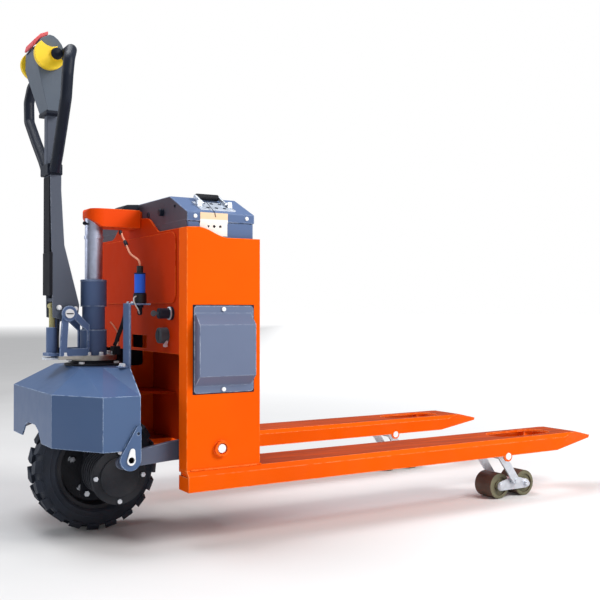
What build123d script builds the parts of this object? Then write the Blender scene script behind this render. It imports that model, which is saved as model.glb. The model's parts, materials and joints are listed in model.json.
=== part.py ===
from build123d import *
import os
from math import asin, atan2, cos, degrees, hypot, pi, radians, sin

# Electric pallet truck with a steered drive wheel under a hood, a hand tiller and two raised forks.
# Frame: +X towards the fork tips, +Y to the left of a person facing them, +Z up, floor at z = 0.
# Every X below is measured from the steering axis, which stands at STEER_X in the part's frame.
STEER_X = -674.0

# Chassis
WALL_FRONT = 109.0
WALL_REAR = 300.0
WALL_HALF = 331.5
SHEET = 6.0
WALL_TOP = 742.0
WALL_TOP_REAR = 720.0
FRONT_WALL_LOW = 446.0
FLANGE = 43.5
INNER_WALL = WALL_HALF - SHEET
WALL_INSIDE = WALL_HALF - FLANGE
TRAY_Z = 560.0

# Forks, shown raised
FORK_TOP = 180.0
FORK_LOW = 132.5
FORK_WIDTH = 160.0
FORK_TIP = 1514.0
HALF_WIDTH = 342.5
FORK_Y = HALF_WIDTH - FORK_WIDTH / 2
CHANNEL_TOP = FORK_TOP - SHEET
FORK_BEVEL = 11.0
LIFT = 90.0

# Load wheels
ROLLER_R = 37.0
ROLLER_WIDTH = 66.0
ROLLER_X = (1117.0, 1216.0)
BOGIE = (1166.5, 50.0)
LOAD_PIVOT = (1106.0, 131.0)
LOAD_PIN_R = 10.0
BOGIE_PIN_R = 7.0
ROLLER_AXLE_R = 8.0
RUN = 0.06

# Link arms between the hood's lugs and the chassis
LUG = (-16.0, 214.0)
LUG_PIN_R = 7.0
ROCKER = (196.0, 227.0)
ROCKER_PIN_R = 8.0
ROD_PIN_R = 6.0
ROD_HOLE_R = 9.0
LOAD_LEVER = 30.0
LEVER_FAR_Y = 264.0
LEVER_NEAR_Y = 274.0
ROD_FAR_Y = 252.5
ROD_NEAR_Y = 262.5

# Hood
HOOD_SKIRT_LOW = 233.5
HOOD_SKIRT_TOP = 356.0
HOOD_TOP = 411.0
HOOD_SHEET = 4.0
HOOD_SIDE = 300.0

# Drive wheel and steering unit
WHEEL_R = 157.0
TYRE_HALF = 44.5
RIM_R = 104.0
AXLE_R = 12.5
STEM_R = 36.0
RAM_R = 22.0
STEER_DISC_LOW = 424.3
STEER_DISC_TOP = 436.0
BARREL_X = -106.0
TILLER_PIVOT = (-75.0, 541.0)
TILLER_PIN_R = 8.0
TILLER_HALF = 29.0
BRACKET_Y = 33.0
BRACKET_SHEET = 8.0

# Tiller head
HEAD_HUB = (-116.5, 1169.0)
HEAD_HALF_TOP = 52.0
HEAD_HALF_LOW = 34.0
LOOP_R = 13.5
HEAD_LOW = 1038.0

# Battery pack
PACK_FRONT = 116.0
PACK_REAR = 290.0
PACK_HALF = 317.0
LID_LOW = 757.0
LID_LIP = 778.0
LID_TOP = 824.0
LID_HALF = 320.0
LID_FLAT_HALF = 218.0

# Geometry of the lifting linkage, worked out from the sizes above
ARM_LENGTH = hypot(BOGIE[0] - LOAD_PIVOT[0], BOGIE[1] - LOAD_PIVOT[1])
ARM_START = atan2(BOGIE[1] - LOAD_PIVOT[1], BOGIE[0] - LOAD_PIVOT[0])
ARM_SWING = asin((BOGIE[1] - LOAD_PIVOT[1] + LIFT) / ARM_LENGTH) - ARM_START
LOAD_LEVER_ANGLE = pi / 2 - ARM_SWING / 2
ROD_REAR = (
    LOAD_PIVOT[0] + LOAD_LEVER * cos(LOAD_LEVER_ANGLE),
    LOAD_PIVOT[1] + LOAD_LEVER * sin(LOAD_LEVER_ANGLE),
)
ROD_TRAVEL = 2 * LOAD_LEVER * sin(ARM_SWING / 2)
ROD_EYE = (ROD_REAR[0], ROD_REAR[1] + LOAD_LEVER * (1 - cos(ARM_SWING / 2)) / 2)
LINK_LENGTH = hypot(ROCKER[0] - LUG[0], ROCKER[1] - LUG[1])
LINK_START = asin((LUG[1] - ROCKER[1]) / LINK_LENGTH)
LINK_SWING = asin((LUG[1] - ROCKER[1] + LIFT) / LINK_LENGTH) - LINK_START
ROCKER_LEVER = ROD_TRAVEL / (2 * sin(LINK_SWING / 2))
ROD_FRONT = (
    ROCKER[0] + ROCKER_LEVER * sin(LINK_SWING / 2),
    ROCKER[1] - ROCKER_LEVER * cos(LINK_SWING / 2),
)
LUG_LOWERED = hypot(ROCKER[0] - LUG[0], LUG[1] - ROCKER[1] + LIFT) - LINK_LENGTH


def side(y):
    """Side-view plane at y: sketch X from the steering axis and height, extrude towards -Y."""
    return Plane(origin=(STEER_X, y, 0), x_dir=(1, 0, 0), z_dir=(0, -1, 0))


def front(x):
    """Front-view plane at X: sketch Y and height, extrude towards the fork tips."""
    return Plane(origin=(STEER_X + x, 0, 0), x_dir=(0, 1, 0), z_dir=(1, 0, 0))


def plan(z):
    """Plan-view plane at height z: sketch X from the steering axis and Y, extrude upwards."""
    return Plane(origin=(STEER_X, 0, z), x_dir=(1, 0, 0), z_dir=(0, 0, 1))


def rod(plane, centre, radius, length, mode=Mode.ADD):
    """A round bar, or a bore with Mode.SUBTRACT, from the plane along its normal."""
    with BuildSketch(plane) as outline:
        with Locations(centre):
            Circle(radius)
    extrude(outline.sketch, amount=length, mode=mode)


def bar(plane, low, high, length, mode=Mode.ADD, corner=0.0):
    """A rectangular block between two sketch corners, with optional rounded edges along its length."""
    with BuildSketch(plane) as outline:
        with Locations(((low[0] + high[0]) / 2, (low[1] + high[1]) / 2)):
            if corner:
                RectangleRounded(high[0] - low[0], high[1] - low[1], corner)
            else:
                Rectangle(high[0] - low[0], high[1] - low[1])
    extrude(outline.sketch, amount=length, mode=mode)


def slab(plane, points, length, mode=Mode.ADD):
    """A plate of the given outline."""
    with BuildSketch(plane) as outline:
        Polygon(*points, align=None)
    extrude(outline.sketch, amount=length, mode=mode)


def link(plane, start, start_r, end, end_r, thickness):
    """A flat link with round ends of two radii."""
    with BuildSketch(plane) as outline:
        with Locations(start):
            Circle(start_r)
        with Locations(end):
            Circle(end_r)
        make_hull()
    extrude(outline.sketch, amount=thickness)


def save(piece, name):
    """Labels a finished piece and writes it as its own file."""
    piece.label = name
    export_step(piece, f"parts/{name}.step")


def save_pair(piece, name):
    """Writes a right-hand piece and its mirror image on the left."""
    save(piece, f"right_{name}")
    save(mirror(piece, about=Plane.XZ), f"left_{name}")


os.makedirs("parts", exist_ok=True)

# ---------------------------------------------------------------- forks
TAPER_LOW = 1305.0
TAPER_TOP = 1400.0
TIP_HALF = 20.0
TIP_Z = (147.0, 156.0)
SLOT_LOW_X = 1112.0
SLOT_HIGH_X = 1335.0
CHANNEL_END = 1300.0
INSIDE_FROM_X = 160.0
OUTER_Y = -HALF_WIDTH
INNER_Y = -HALF_WIDTH + FORK_WIDTH
with BuildPart() as fork:
    slab(
        side(INNER_Y),
        [
            (WALL_FRONT, FORK_LOW),
            (TAPER_LOW, FORK_LOW),
            (FORK_TIP, TIP_Z[0]),
            (FORK_TIP, TIP_Z[1]),
            (TAPER_TOP, FORK_TOP),
            (WALL_FRONT, FORK_TOP),
        ],
        FORK_WIDTH,
    )
    with BuildSketch(front(0)) as outline:
        Polygon(
            (OUTER_Y, FORK_LOW - 10),
            (OUTER_Y, FORK_TOP - FORK_BEVEL),
            (OUTER_Y + FORK_BEVEL, FORK_TOP),
            (INNER_Y - FORK_BEVEL, FORK_TOP),
            (INNER_Y, FORK_TOP - FORK_BEVEL),
            (INNER_Y, FORK_LOW - 10),
            align=None,
        )
    extrude(outline.sketch, amount=FORK_TIP + 10, mode=Mode.INTERSECT)
    # The tip's two slanted cheeks start further back at the bottom than at the top.
    for edge, sign in ((OUTER_Y, 1), (INNER_Y, -1)):
        start = Vector(STEER_X + TAPER_LOW, edge, FORK_LOW)
        upper = Vector(STEER_X + TAPER_LOW + 45, edge, FORK_TOP)
        tip = Vector(STEER_X + FORK_TIP, -FORK_Y - sign * TIP_HALF, TIP_Z[1])
        inward = (upper - start).cross(tip - start) * sign
        split(bisect_by=Plane(origin=start, z_dir=inward), keep=Keep.TOP)
    with BuildSketch(front(WALL_FRONT - 1)) as hollow:
        Polygon(
            (OUTER_Y + SHEET, FORK_LOW - 1),
            (OUTER_Y + SHEET, CHANNEL_TOP - 9),
            (OUTER_Y + SHEET + 9, CHANNEL_TOP),
            (INNER_Y - SHEET - 9, CHANNEL_TOP),
            (INNER_Y - SHEET, CHANNEL_TOP - 9),
            (INNER_Y - SHEET, FORK_LOW - 1),
            align=None,
        )
    extrude(hollow.sketch, amount=CHANNEL_END - WALL_FRONT + 1, mode=Mode.SUBTRACT)
    bar(
        plan(FORK_LOW - 1),
        (CHANNEL_END - 1, OUTER_Y + 30.0),
        (SLOT_HIGH_X + 5, INNER_Y - 30.0),
        CHANNEL_TOP - FORK_LOW + 1,
        Mode.SUBTRACT,
    )
    with BuildSketch(plan(CHANNEL_TOP - 1)) as opening:
        with Locations(((SLOT_LOW_X + SLOT_HIGH_X) / 2, -FORK_Y)):
            SlotOverall(SLOT_HIGH_X - SLOT_LOW_X, 96.0)
    extrude(opening.sketch, amount=SHEET + 2, mode=Mode.SUBTRACT)
    bar(plan(CHANNEL_TOP - 1), (INSIDE_FROM_X, -280.0), (232.0, -249.0), SHEET + 2, Mode.SUBTRACT)
    bar(
        plan(FORK_LOW - 1),
        (WALL_FRONT - 1, -WALL_INSIDE),
        (INSIDE_FROM_X, INNER_Y + 1),
        FORK_TOP - FORK_LOW + 2,
        Mode.SUBTRACT,
    )
    bar(front(WALL_FRONT), (OUTER_Y + 5, FORK_LOW), (-WALL_INSIDE, CHANNEL_TOP - 8), SHEET)
    bar(
        plan(FORK_TOP - 0.6),
        (WALL_REAR + 3, OUTER_Y - 1),
        (WALL_REAR + 6, INNER_Y + 1),
        2.0,
        Mode.SUBTRACT,
    )
    for web in (OUTER_Y + SHEET, INNER_Y):
        rod(side(web), LOAD_PIVOT, 15.0, SHEET)
        rod(side(web + 1), LOAD_PIVOT, LOAD_PIN_R, SHEET + 2, Mode.SUBTRACT)
    slab(side(-240.0), [(166, FORK_TOP), (226, FORK_TOP), (212, 250), (180, 250)], SHEET)
    rod(side(-239.0), ROCKER, ROCKER_PIN_R, SHEET + 2, Mode.SUBTRACT)
save_pair(fork.part, "fork")

# ---------------------------------------------------------------- side walls with their front flanges
COVER_X = (126.0, 281.0)
COVER_Z = (357.0, 560.0)
BOSS_R = 18.0
BOSS_LENGTH = 9.0
PIN_HEAD_R = 10.0
with BuildPart() as side_wall:
    with BuildSketch(side(-INNER_WALL)) as outline:
        with BuildLine():
            Polyline(
                (140.0, WALL_TOP + 1),
                (WALL_FRONT, WALL_TOP),
                (WALL_FRONT, FORK_TOP),
                (WALL_REAR, FORK_TOP),
                (WALL_REAR, WALL_TOP_REAR),
                (213.0, WALL_TOP_REAR),
            )
            Spline(
                (213.0, WALL_TOP_REAR),
                (177.0, (WALL_TOP + WALL_TOP_REAR) / 2),
                (140.0, WALL_TOP + 1),
                tangents=[(-1, 0.1), (-1, 0.1)],
            )
        make_face()
        with Locations(((COVER_X[0] + COVER_X[1]) / 2, (COVER_Z[0] + COVER_Z[1]) / 2)):
            RectangleRounded(118.0, 150.0, 12.0, mode=Mode.SUBTRACT)
    extrude(outline.sketch, amount=SHEET)
    bar(
        front(WALL_FRONT),
        (-INNER_WALL, FORK_TOP),
        (-WALL_INSIDE, WALL_TOP),
        SHEET,
    )
    rod(side(-WALL_HALF), ROCKER, BOSS_R, BOSS_LENGTH)
    rod(side(-INNER_WALL + 1), ROCKER, ROCKER_PIN_R, SHEET + 6, Mode.SUBTRACT)
    rod(side(-WALL_HALF - 2), ROCKER, PIN_HEAD_R + 3, BOSS_LENGTH, Mode.SUBTRACT)
save_pair(side_wall.part, "side_wall")

# ---------------------------------------------------------------- front wall, its door and the rear wall
ARM_HALF = 42.0
ARM_LOW = 760.0
ARM_TOP = 806.0
WINDOW_Y = (-85.0, 20.0)
WINDOW_Z = (453.0, 486.0)
KEY_AT = (-245.0, 542.0)
SOCKET_AT = (-213.0, 489.0)
with BuildPart() as front_wall:
    with BuildSketch(front(WALL_FRONT)) as outline:
        with Locations((0, (FRONT_WALL_LOW + WALL_TOP) / 2)):
            Rectangle(2 * WALL_INSIDE, WALL_TOP - FRONT_WALL_LOW)
        with BuildLine():
            Spline((-167, WALL_TOP), (-135, 757), (-103, 777), (-70, 783), (-ARM_HALF, 785))
            Polyline((-ARM_HALF, 785), (-ARM_HALF, 802), (ARM_HALF, 802), (ARM_HALF, 785))
            Spline((ARM_HALF, 785), (70, 783), (103, 777), (135, 757), (167, WALL_TOP))
            Line((167, WALL_TOP), (-167, WALL_TOP))
        make_face()
        with Locations((sum(WINDOW_Y) / 2, sum(WINDOW_Z) / 2)):
            Rectangle(WINDOW_Y[1] - WINDOW_Y[0], WINDOW_Z[1] - WINDOW_Z[0], mode=Mode.SUBTRACT)
        with Locations(KEY_AT):
            Circle(12.0, mode=Mode.SUBTRACT)
        with Locations(SOCKET_AT):
            Circle(15.0, mode=Mode.SUBTRACT)
    extrude(outline.sketch, amount=5.0)
save(front_wall.part, "front_wall")

DOOR_LOW = 566.0
DOOR_HIGH = 736.0
with BuildPart() as front_door:
    bar(front(WALL_FRONT - 3.0), (-272.0, DOOR_LOW), (225.0, DOOR_HIGH), 3.0, corner=24.0)
save(front_door.part, "front_door")

with BuildPart() as rear_wall:
    bar(
        front(WALL_REAR - SHEET),
        (-INNER_WALL, FORK_TOP),
        (INNER_WALL, WALL_TOP_REAR),
        SHEET,
    )
save(rear_wall.part, "rear_wall")

# ---------------------------------------------------------------- battery tray and lower gussets
GUSSET_Z = 312.0
GUSSET_R = 170.0
with BuildPart() as tray:
    bar(
        plan(TRAY_Z),
        (WALL_FRONT + SHEET, -INNER_WALL),
        (WALL_REAR - SHEET, INNER_WALL),
        5.0,
    )
    for sign in (-1, 1):
        with BuildSketch(plan(GUSSET_Z)) as corner:
            with Locations((WALL_REAR - SHEET, sign * INNER_WALL)):
                Circle(GUSSET_R)
            with Locations(((WALL_FRONT + WALL_REAR) / 2, sign * (INNER_WALL - 100))):
                Rectangle(WALL_REAR - WALL_FRONT - 2 * SHEET, 200, mode=Mode.INTERSECT)
        extrude(corner.sketch, amount=5.0)
save(tray.part, "battery_tray")

# ---------------------------------------------------------------- head arm over the lift ram
NOSE_X = 15.0
with BuildPart() as head_arm:
    slab(
        side(ARM_HALF),
        [
            (-28.0, 786.0),
            (8.0, ARM_LOW),
            (WALL_FRONT, ARM_LOW),
            (WALL_FRONT, ARM_TOP),
            (-18.0, ARM_TOP),
            (-28.0, ARM_TOP - 10),
        ],
        2 * ARM_HALF,
    )
    with BuildSketch(plan(ARM_LOW - 5)) as outline:
        with Locations((NOSE_X, 0)):
            Circle(ARM_HALF)
        with Locations(((NOSE_X + WALL_FRONT) / 2, 0)):
            Rectangle(WALL_FRONT - NOSE_X, 2 * ARM_HALF)
    extrude(outline.sketch, amount=60.0, mode=Mode.INTERSECT)
    rod(plan(ARM_LOW - 20), (0, 0), RAM_R, 45.0, Mode.SUBTRACT)
save(head_arm.part, "head_arm")

with BuildPart() as ram:
    rod(plan(546.0), (0, 0), RAM_R, 785.0 - 546.0)
    rod(plan(730.0), (0, 0), RAM_R + 2.0, 8.0)
save(ram.part, "lift_ram")

# ---------------------------------------------------------------- side covers, controller, switches
COVER_DEPTH = 30.0
with BuildPart() as cover:
    bar(
        side(-WALL_HALF),
        (COVER_X[0], COVER_Z[0]),
        (COVER_X[1], COVER_Z[1]),
        3.0,
        corner=8.0,
    )
    slab(
        front(COVER_X[0] + 2),
        [
            (-WALL_HALF - 3, 543),
            (-WALL_HALF - COVER_DEPTH, 516),
            (-WALL_HALF - COVER_DEPTH, 397),
            (-WALL_HALF - 3, 374),
        ],
        COVER_X[1] - COVER_X[0] - 9,
    )
    slab(
        front(COVER_X[0] + 5),
        [
            (-WALL_HALF + 1, 541),
            (-WALL_HALF - 3, 541),
            (-WALL_HALF - COVER_DEPTH + 3, 514),
            (-WALL_HALF - COVER_DEPTH + 3, 399),
            (-WALL_HALF - 3, 377),
            (-WALL_HALF + 1, 377),
        ],
        COVER_X[1] - COVER_X[0] - 15,
        Mode.SUBTRACT,
    )
save_pair(cover.part, "side_cover")

SCREW_X = 201.0
with BuildPart() as screws:
    for sign in (-1, 1):
        outer = side(-WALL_HALF - 3) if sign < 0 else side(WALL_HALF + 3 + 4)
        for height in (COVER_Z[1] - 8, COVER_Z[0] + 8):
            rod(outer, (SCREW_X, height), 5.0, 4.0)
save(screws.part, "cover_screws")

with BuildPart() as controller:
    bar(side(-275.0), (146.0, 392.0), (256.0, 524.0), 50.0, corner=4.0)
    bar(side(-270.0), (146.0, 392.0), (256.0, 396.0), 5.0)
save(controller.part, "motor_controller")

with BuildPart() as socket:
    rod(front(WALL_FRONT - 20), SOCKET_AT, 19.0, 20.0)
    rod(front(WALL_FRONT), SOCKET_AT, 14.9, 18.0)
save(socket.part, "charge_socket")

with BuildPart() as key_switch:
    rod(front(WALL_FRONT - 34), KEY_AT, 12.5, 30.0)
    rod(front(WALL_FRONT - 6), KEY_AT, 16.0, 6.0)
    rod(front(WALL_FRONT), KEY_AT, 11.9, 20.0)
    rod(front(WALL_FRONT - 35), KEY_AT, 3.05, 20.0, Mode.SUBTRACT)
save(key_switch.part, "key_switch")

with BuildPart() as key:
    rod(front(WALL_FRONT - 36), KEY_AT, 3.0, 20.0)
    bar(front(WALL_FRONT - 40), (KEY_AT[0] - 1.2, KEY_AT[1] - 3), (KEY_AT[0] + 1.2, KEY_AT[1] + 3), 4.0)
    with BuildSketch(side(KEY_AT[0] + 1.2)) as bow:
        with Locations((WALL_FRONT - 46, KEY_AT[1])):
            Circle(7.0)
    extrude(bow.sketch, amount=2.4)
save(key.part, "ignition_key")

# ---------------------------------------------------------------- fixed pins of the lifting linkage
with BuildPart() as pins:
    rod(side(-240.0), ROCKER, ROCKER_PIN_R, WALL_HALF + 2 - 240.0)
    rod(side(-WALL_HALF - 2), ROCKER, PIN_HEAD_R, 5.0)
    rod(side(INNER_Y + 1), LOAD_PIVOT, LOAD_PIN_R, FORK_WIDTH + 2)
    mirror(about=Plane.XZ)
save(pins.part, "linkage_pins")

# ---------------------------------------------------------------- link arms
with BuildPart() as link_arm:
    link(side(-ROD_NEAR_Y + 40), LUG, 17.0, ROCKER, 27.0, 120.0)
    with BuildSketch(side(-ROD_NEAR_Y + 40)) as eye:
        with Locations(LUG, (LUG[0] - LUG_LOWERED, LUG[1] - 7)):
            Circle(15.0)
        make_hull()
    extrude(eye.sketch, amount=120.0)
    slab(
        plan(150.0),
        [
            (-60.0, -294.5),
            (14.0, -294.5),
            (98.0, -LEVER_NEAR_Y),
            (240.0, -LEVER_NEAR_Y),
            (240.0, -LEVER_FAR_Y),
            (92.0, -LEVER_FAR_Y),
            (10.0, -284.0),
            (-60.0, -284.0),
        ],
        140.0,
        Mode.INTERSECT,
    )
    rod(side(-248.0), ROCKER, 20.0, 30.0)
    rod(side(-LEVER_FAR_Y), ROCKER, 22.0, LEVER_NEAR_Y - LEVER_FAR_Y)
    link(side(-LEVER_FAR_Y), ROCKER, 16.0, ROD_FRONT, 12.0, LEVER_NEAR_Y - LEVER_FAR_Y)
    rod(side(-ROD_FAR_Y), ROD_FRONT, ROD_PIN_R, LEVER_FAR_Y - ROD_FAR_Y)
    rod(side(-200.0), ROCKER, ROCKER_PIN_R + RUN, 140.0, Mode.SUBTRACT)
    with BuildSketch(side(-ROD_NEAR_Y + 40)) as slot:
        with Locations(LUG, (LUG[0] - LUG_LOWERED, LUG[1] - 7)):
            Circle(LUG_PIN_R + 1.2)
        make_hull()
    extrude(slot.sketch, amount=120.0, mode=Mode.SUBTRACT)
save_pair(link_arm.part, "link_arm")

# ---------------------------------------------------------------- push rods inside the forks
with BuildPart() as push_rod:
    link(side(-ROD_FAR_Y), ROD_FRONT, 7.0, ROD_EYE, 7.0, ROD_NEAR_Y - ROD_FAR_Y)
    for end in (ROD_FRONT, ROD_EYE):
        rod(side(-ROD_FAR_Y), end, 13.0, ROD_NEAR_Y - ROD_FAR_Y)
        rod(side(-ROD_FAR_Y + 1), end, ROD_HOLE_R, ROD_NEAR_Y - ROD_FAR_Y + 2, Mode.SUBTRACT)
save_pair(push_rod.part, "push_rod")

# ---------------------------------------------------------------- load arms, bogies and rollers
ARM_PLATE_Y = (46.0, 52.0)
BOGIE_PLATE_Y = (35.5, 39.5)
with BuildPart() as load_arm:
    for centre in (-FORK_Y + ARM_PLATE_Y[1], -FORK_Y - ARM_PLATE_Y[0]):
        link(side(centre), LOAD_PIVOT, 13.0, BOGIE, 12.0, ARM_PLATE_Y[1] - ARM_PLATE_Y[0])
    rod(side(-FORK_Y + ARM_PLATE_Y[1]), LOAD_PIVOT, 13.0, 2 * ARM_PLATE_Y[1])
    link(side(-LEVER_FAR_Y), LOAD_PIVOT, 12.0, ROD_REAR, 9.0, LEVER_NEAR_Y - LEVER_FAR_Y)
    rod(side(-ROD_FAR_Y), ROD_REAR, ROD_PIN_R, LEVER_FAR_Y - ROD_FAR_Y)
    rod(side(-FORK_Y + ARM_PLATE_Y[1] + 3), BOGIE, BOGIE_PIN_R, 2 * ARM_PLATE_Y[1] + 6)
    rod(side(-FORK_Y + 60), LOAD_PIVOT, LOAD_PIN_R + RUN, 120.0, Mode.SUBTRACT)
save_pair(load_arm.part, "load_arm")

with BuildPart() as bogie:
    for start in (-FORK_Y + BOGIE_PLATE_Y[1], -FORK_Y - BOGIE_PLATE_Y[0]):
        with BuildSketch(side(start)) as plate:
            with Locations((ROLLER_X[0], ROLLER_R), (ROLLER_X[1], ROLLER_R)):
                Circle(13.0)
            with Locations(BOGIE):
                Circle(12.5)
            make_hull()
            with Locations(BOGIE):
                Circle(BOGIE_PIN_R + RUN, mode=Mode.SUBTRACT)
        extrude(plate.sketch, amount=BOGIE_PLATE_Y[1] - BOGIE_PLATE_Y[0])
    for roller_x in ROLLER_X:
        rod(side(-FORK_Y + 44), (roller_x, ROLLER_R), ROLLER_AXLE_R, 88.0)
        rod(side(-FORK_Y + 43), (roller_x, ROLLER_R), 11.0, 3.5)
        rod(side(-FORK_Y - 39.5), (roller_x, ROLLER_R), 11.0, 3.5)
save_pair(bogie.part, "bogie")

for place, roller_x in zip(("rear", "front"), ROLLER_X):
    with BuildPart() as roller:
        rod(side(-FORK_Y + ROLLER_WIDTH / 2), (roller_x, ROLLER_R), ROLLER_R, ROLLER_WIDTH)
        fillet(roller.edges().filter_by(GeomType.CIRCLE), 2.0)
        for face_y in (-FORK_Y + ROLLER_WIDTH / 2 + 1, -FORK_Y - ROLLER_WIDTH / 2 + 4):
            with BuildSketch(side(face_y)) as dish:
                with Locations((roller_x, ROLLER_R)):
                    Circle(27.0)
                    Circle(16.0, mode=Mode.SUBTRACT)
            extrude(dish.sketch, amount=5.0, mode=Mode.SUBTRACT)
        rod(
            side(-FORK_Y + ROLLER_WIDTH),
            (roller_x, ROLLER_R),
            ROLLER_AXLE_R + RUN,
            2 * ROLLER_WIDTH,
            Mode.SUBTRACT,
        )
    save_pair(roller.part, f"{place}_roller")

# ---------------------------------------------------------------- battery pack
with BuildPart() as battery_case:
    bar(plan(TRAY_Z + 5), (PACK_FRONT, -PACK_HALF), (PACK_REAR, PACK_HALF), LID_LOW - TRAY_Z - 5)
    fillet(battery_case.edges().filter_by(Axis.Z), 5.0)
save(battery_case.part, "battery_case")

with BuildPart() as lid:
    slab(
        front(PACK_FRONT - 1),
        [
            (-LID_HALF, LID_LOW),
            (-LID_HALF, LID_LIP),
            (-LID_FLAT_HALF, LID_TOP),
            (LID_FLAT_HALF, LID_TOP),
            (LID_HALF, LID_LIP),
            (LID_HALF, LID_LOW),
        ],
        PACK_REAR - PACK_FRONT + 2,
    )
    slab(
        front(PACK_FRONT + 2),
        [
            (-LID_HALF + 3, LID_LOW - 1),
            (-LID_HALF + 3, LID_LIP - 1),
            (-LID_FLAT_HALF + 1, LID_TOP - 3),
            (LID_FLAT_HALF - 1, LID_TOP - 3),
            (LID_HALF - 3, LID_LIP - 1),
            (LID_HALF - 3, LID_LOW - 1),
        ],
        PACK_REAR - PACK_FRONT - 4,
        Mode.SUBTRACT,
    )
save(lid.part, "battery_lid")

# The bails lie on the lid's two slopes. SLOPE carries sketch Y-Z positions up the right-hand slope.
SLOPE_ANGLE = atan2(LID_TOP - LID_LIP, LID_HALF - LID_FLAT_HALF)
BAIL_X = (164.0, 240.0)
BAIL_HINGE_Y = -281.0
BAIL_HINGE_Z = LID_LIP + (LID_HALF + BAIL_HINGE_Y) * (LID_TOP - LID_LIP) / (LID_HALF - LID_FLAT_HALF) + 9
GRIP_Y = -241.0
GRIP_Z = 824.0


def slope_z(y, rise):
    """Height of a point that stands rise above the lid's right-hand slope at y."""
    run = y + LID_HALF
    return LID_LIP + run * (LID_TOP - LID_LIP) / (LID_HALF - LID_FLAT_HALF) + rise


with BuildPart() as plates:
    slab(
        front(BAIL_X[0] - 8),
        [
            (-303.0, slope_z(-303.0, 0)),
            (-303.0, slope_z(-303.0, 3)),
            (-255.0, slope_z(-255.0, 3)),
            (-255.0, slope_z(-255.0, 0)),
        ],
        93.0,
    )
    for knuckle_x in (BAIL_X[0] - 8, BAIL_X[1] - 4):
        slab(
            front(knuckle_x),
            [
                (BAIL_HINGE_Y - 7, slope_z(BAIL_HINGE_Y - 7, 2)),
                (BAIL_HINGE_Y - 4, BAIL_HINGE_Z + 6),
                (BAIL_HINGE_Y + 4, BAIL_HINGE_Z + 6),
                (BAIL_HINGE_Y + 7, slope_z(BAIL_HINGE_Y + 7, 2)),
            ],
            12.0,
        )
    rod(front(BAIL_X[0] - 9), (BAIL_HINGE_Y, BAIL_HINGE_Z), 4.06, 100.0, Mode.SUBTRACT)
    mirror(about=Plane.XZ)
save(plates.part, "handle_plates")

with BuildPart() as bail:
    for end_x in (BAIL_X[0] - 8, BAIL_X[1] - 9):
        rod(front(end_x), (BAIL_HINGE_Y, BAIL_HINGE_Z), 4.0, 17.0)
    for arm_x in (BAIL_X[0] + 5, BAIL_X[1] - 9):
        with BuildSketch(front(arm_x)) as strap:
            with Locations((BAIL_HINGE_Y, BAIL_HINGE_Z), (GRIP_Y, GRIP_Z)):
                Circle(4.0)
            make_hull()
        extrude(strap.sketch, amount=4.0)
    rod(front(BAIL_X[0] + 5), (GRIP_Y, GRIP_Z), 8.0, BAIL_X[1] - BAIL_X[0] - 10)
save_pair(bail.part, "battery_handle")

with BuildPart() as connector:
    rod(front(PACK_FRONT - 13), (-178.0, 788.0), 9.0, 12.0)
    fillet(connector.edges().filter_by(GeomType.CIRCLE).sort_by(Axis.X)[0], 2.0)
save(connector.part, "battery_lock_knob")


# ---------------------------------------------------------------- hood over the drive wheel
def hood_shell(inset):
    """Closed faceted body of the hood, pulled in by inset on its outer faces."""
    skirt = [
        (-156 + inset, 174 - inset / 2),
        (-78 + inset / 2, HOOD_SIDE - inset),
        (10 + inset, HOOD_SIDE - inset),
    ]
    crown = [(-67 + inset / 2, 107), (-20, 130), (30 + inset, 182 - inset)]
    skirt_z = HOOD_SKIRT_TOP - inset / 3
    crown_z = HOOD_TOP - inset
    floor_z = HOOD_SKIRT_LOW - inset

    def ring(half, height):
        left = [Vector(STEER_X + x, y, height) for x, y in half]
        right = [Vector(STEER_X + x, -y, height) for x, y in reversed(half)]
        return left + right

    low, mid, top = ring(skirt, floor_z), ring(skirt, skirt_z), ring(crown, crown_z)
    facets = [low, top]
    count = len(low)
    for i in range(count):
        j = (i + 1) % count
        facets.append([low[i], low[j], mid[j], mid[i]])
        if i in (2, 5):
            facets.append([mid[i], mid[j], top[j], top[i]])
        elif i < 2:
            facets.append([mid[i], mid[j], top[i]])
            facets.append([top[i], mid[j], top[j]])
        else:
            facets.append([mid[i], mid[j], top[j]])
            facets.append([mid[i], top[j], top[i]])
    faces = [Face(Wire.make_polygon(points)) for points in facets]
    return Solid(Shell(faces))


NOTCH = [(-98, 225), (-78, 243), (-60, 262), (-34, 272), (34, 272), (60, 262), (78, 243), (98, 225)]
with BuildPart() as hood:
    add(hood_shell(0.0))
    add(hood_shell(HOOD_SHEET), mode=Mode.SUBTRACT)
    slab(front(-170.0), NOTCH, 60.0, Mode.SUBTRACT)
    rod(plan(HOOD_TOP - 20), (0, 0), 40.0, 40.0, Mode.SUBTRACT)
    for sign in (-1, 1):
        with BuildSketch(side(-HOOD_SIDE) if sign < 0 else side(HOOD_SIDE + 8)) as lug:
            with Locations((LUG[0], LUG[1])):
                Circle(24.5)
            with Locations((3.0, 284.0)):
                Circle(6.0)
            make_hull()
            with Locations((2.0, 272.0)):
                Circle(3.5, mode=Mode.SUBTRACT)
            with Locations(LUG):
                Circle(LUG_PIN_R, mode=Mode.SUBTRACT)
        extrude(lug.sketch, amount=8.0)
save(hood.part, "drive_hood")

FLANGE_BOLT_R = 63.0
with BuildPart() as turntable:
    rod(plan(HOOD_TOP), (0, 0), 72.0, 5.0)
    rod(plan(HOOD_TOP), (0, 0), 54.0, STEER_DISC_LOW - 0.3 - HOOD_TOP)
    rod(plan(HOOD_TOP - 1), (0, 0), STEM_R + RUN, 30.0, Mode.SUBTRACT)
save(turntable.part, "turntable_ring")

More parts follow.
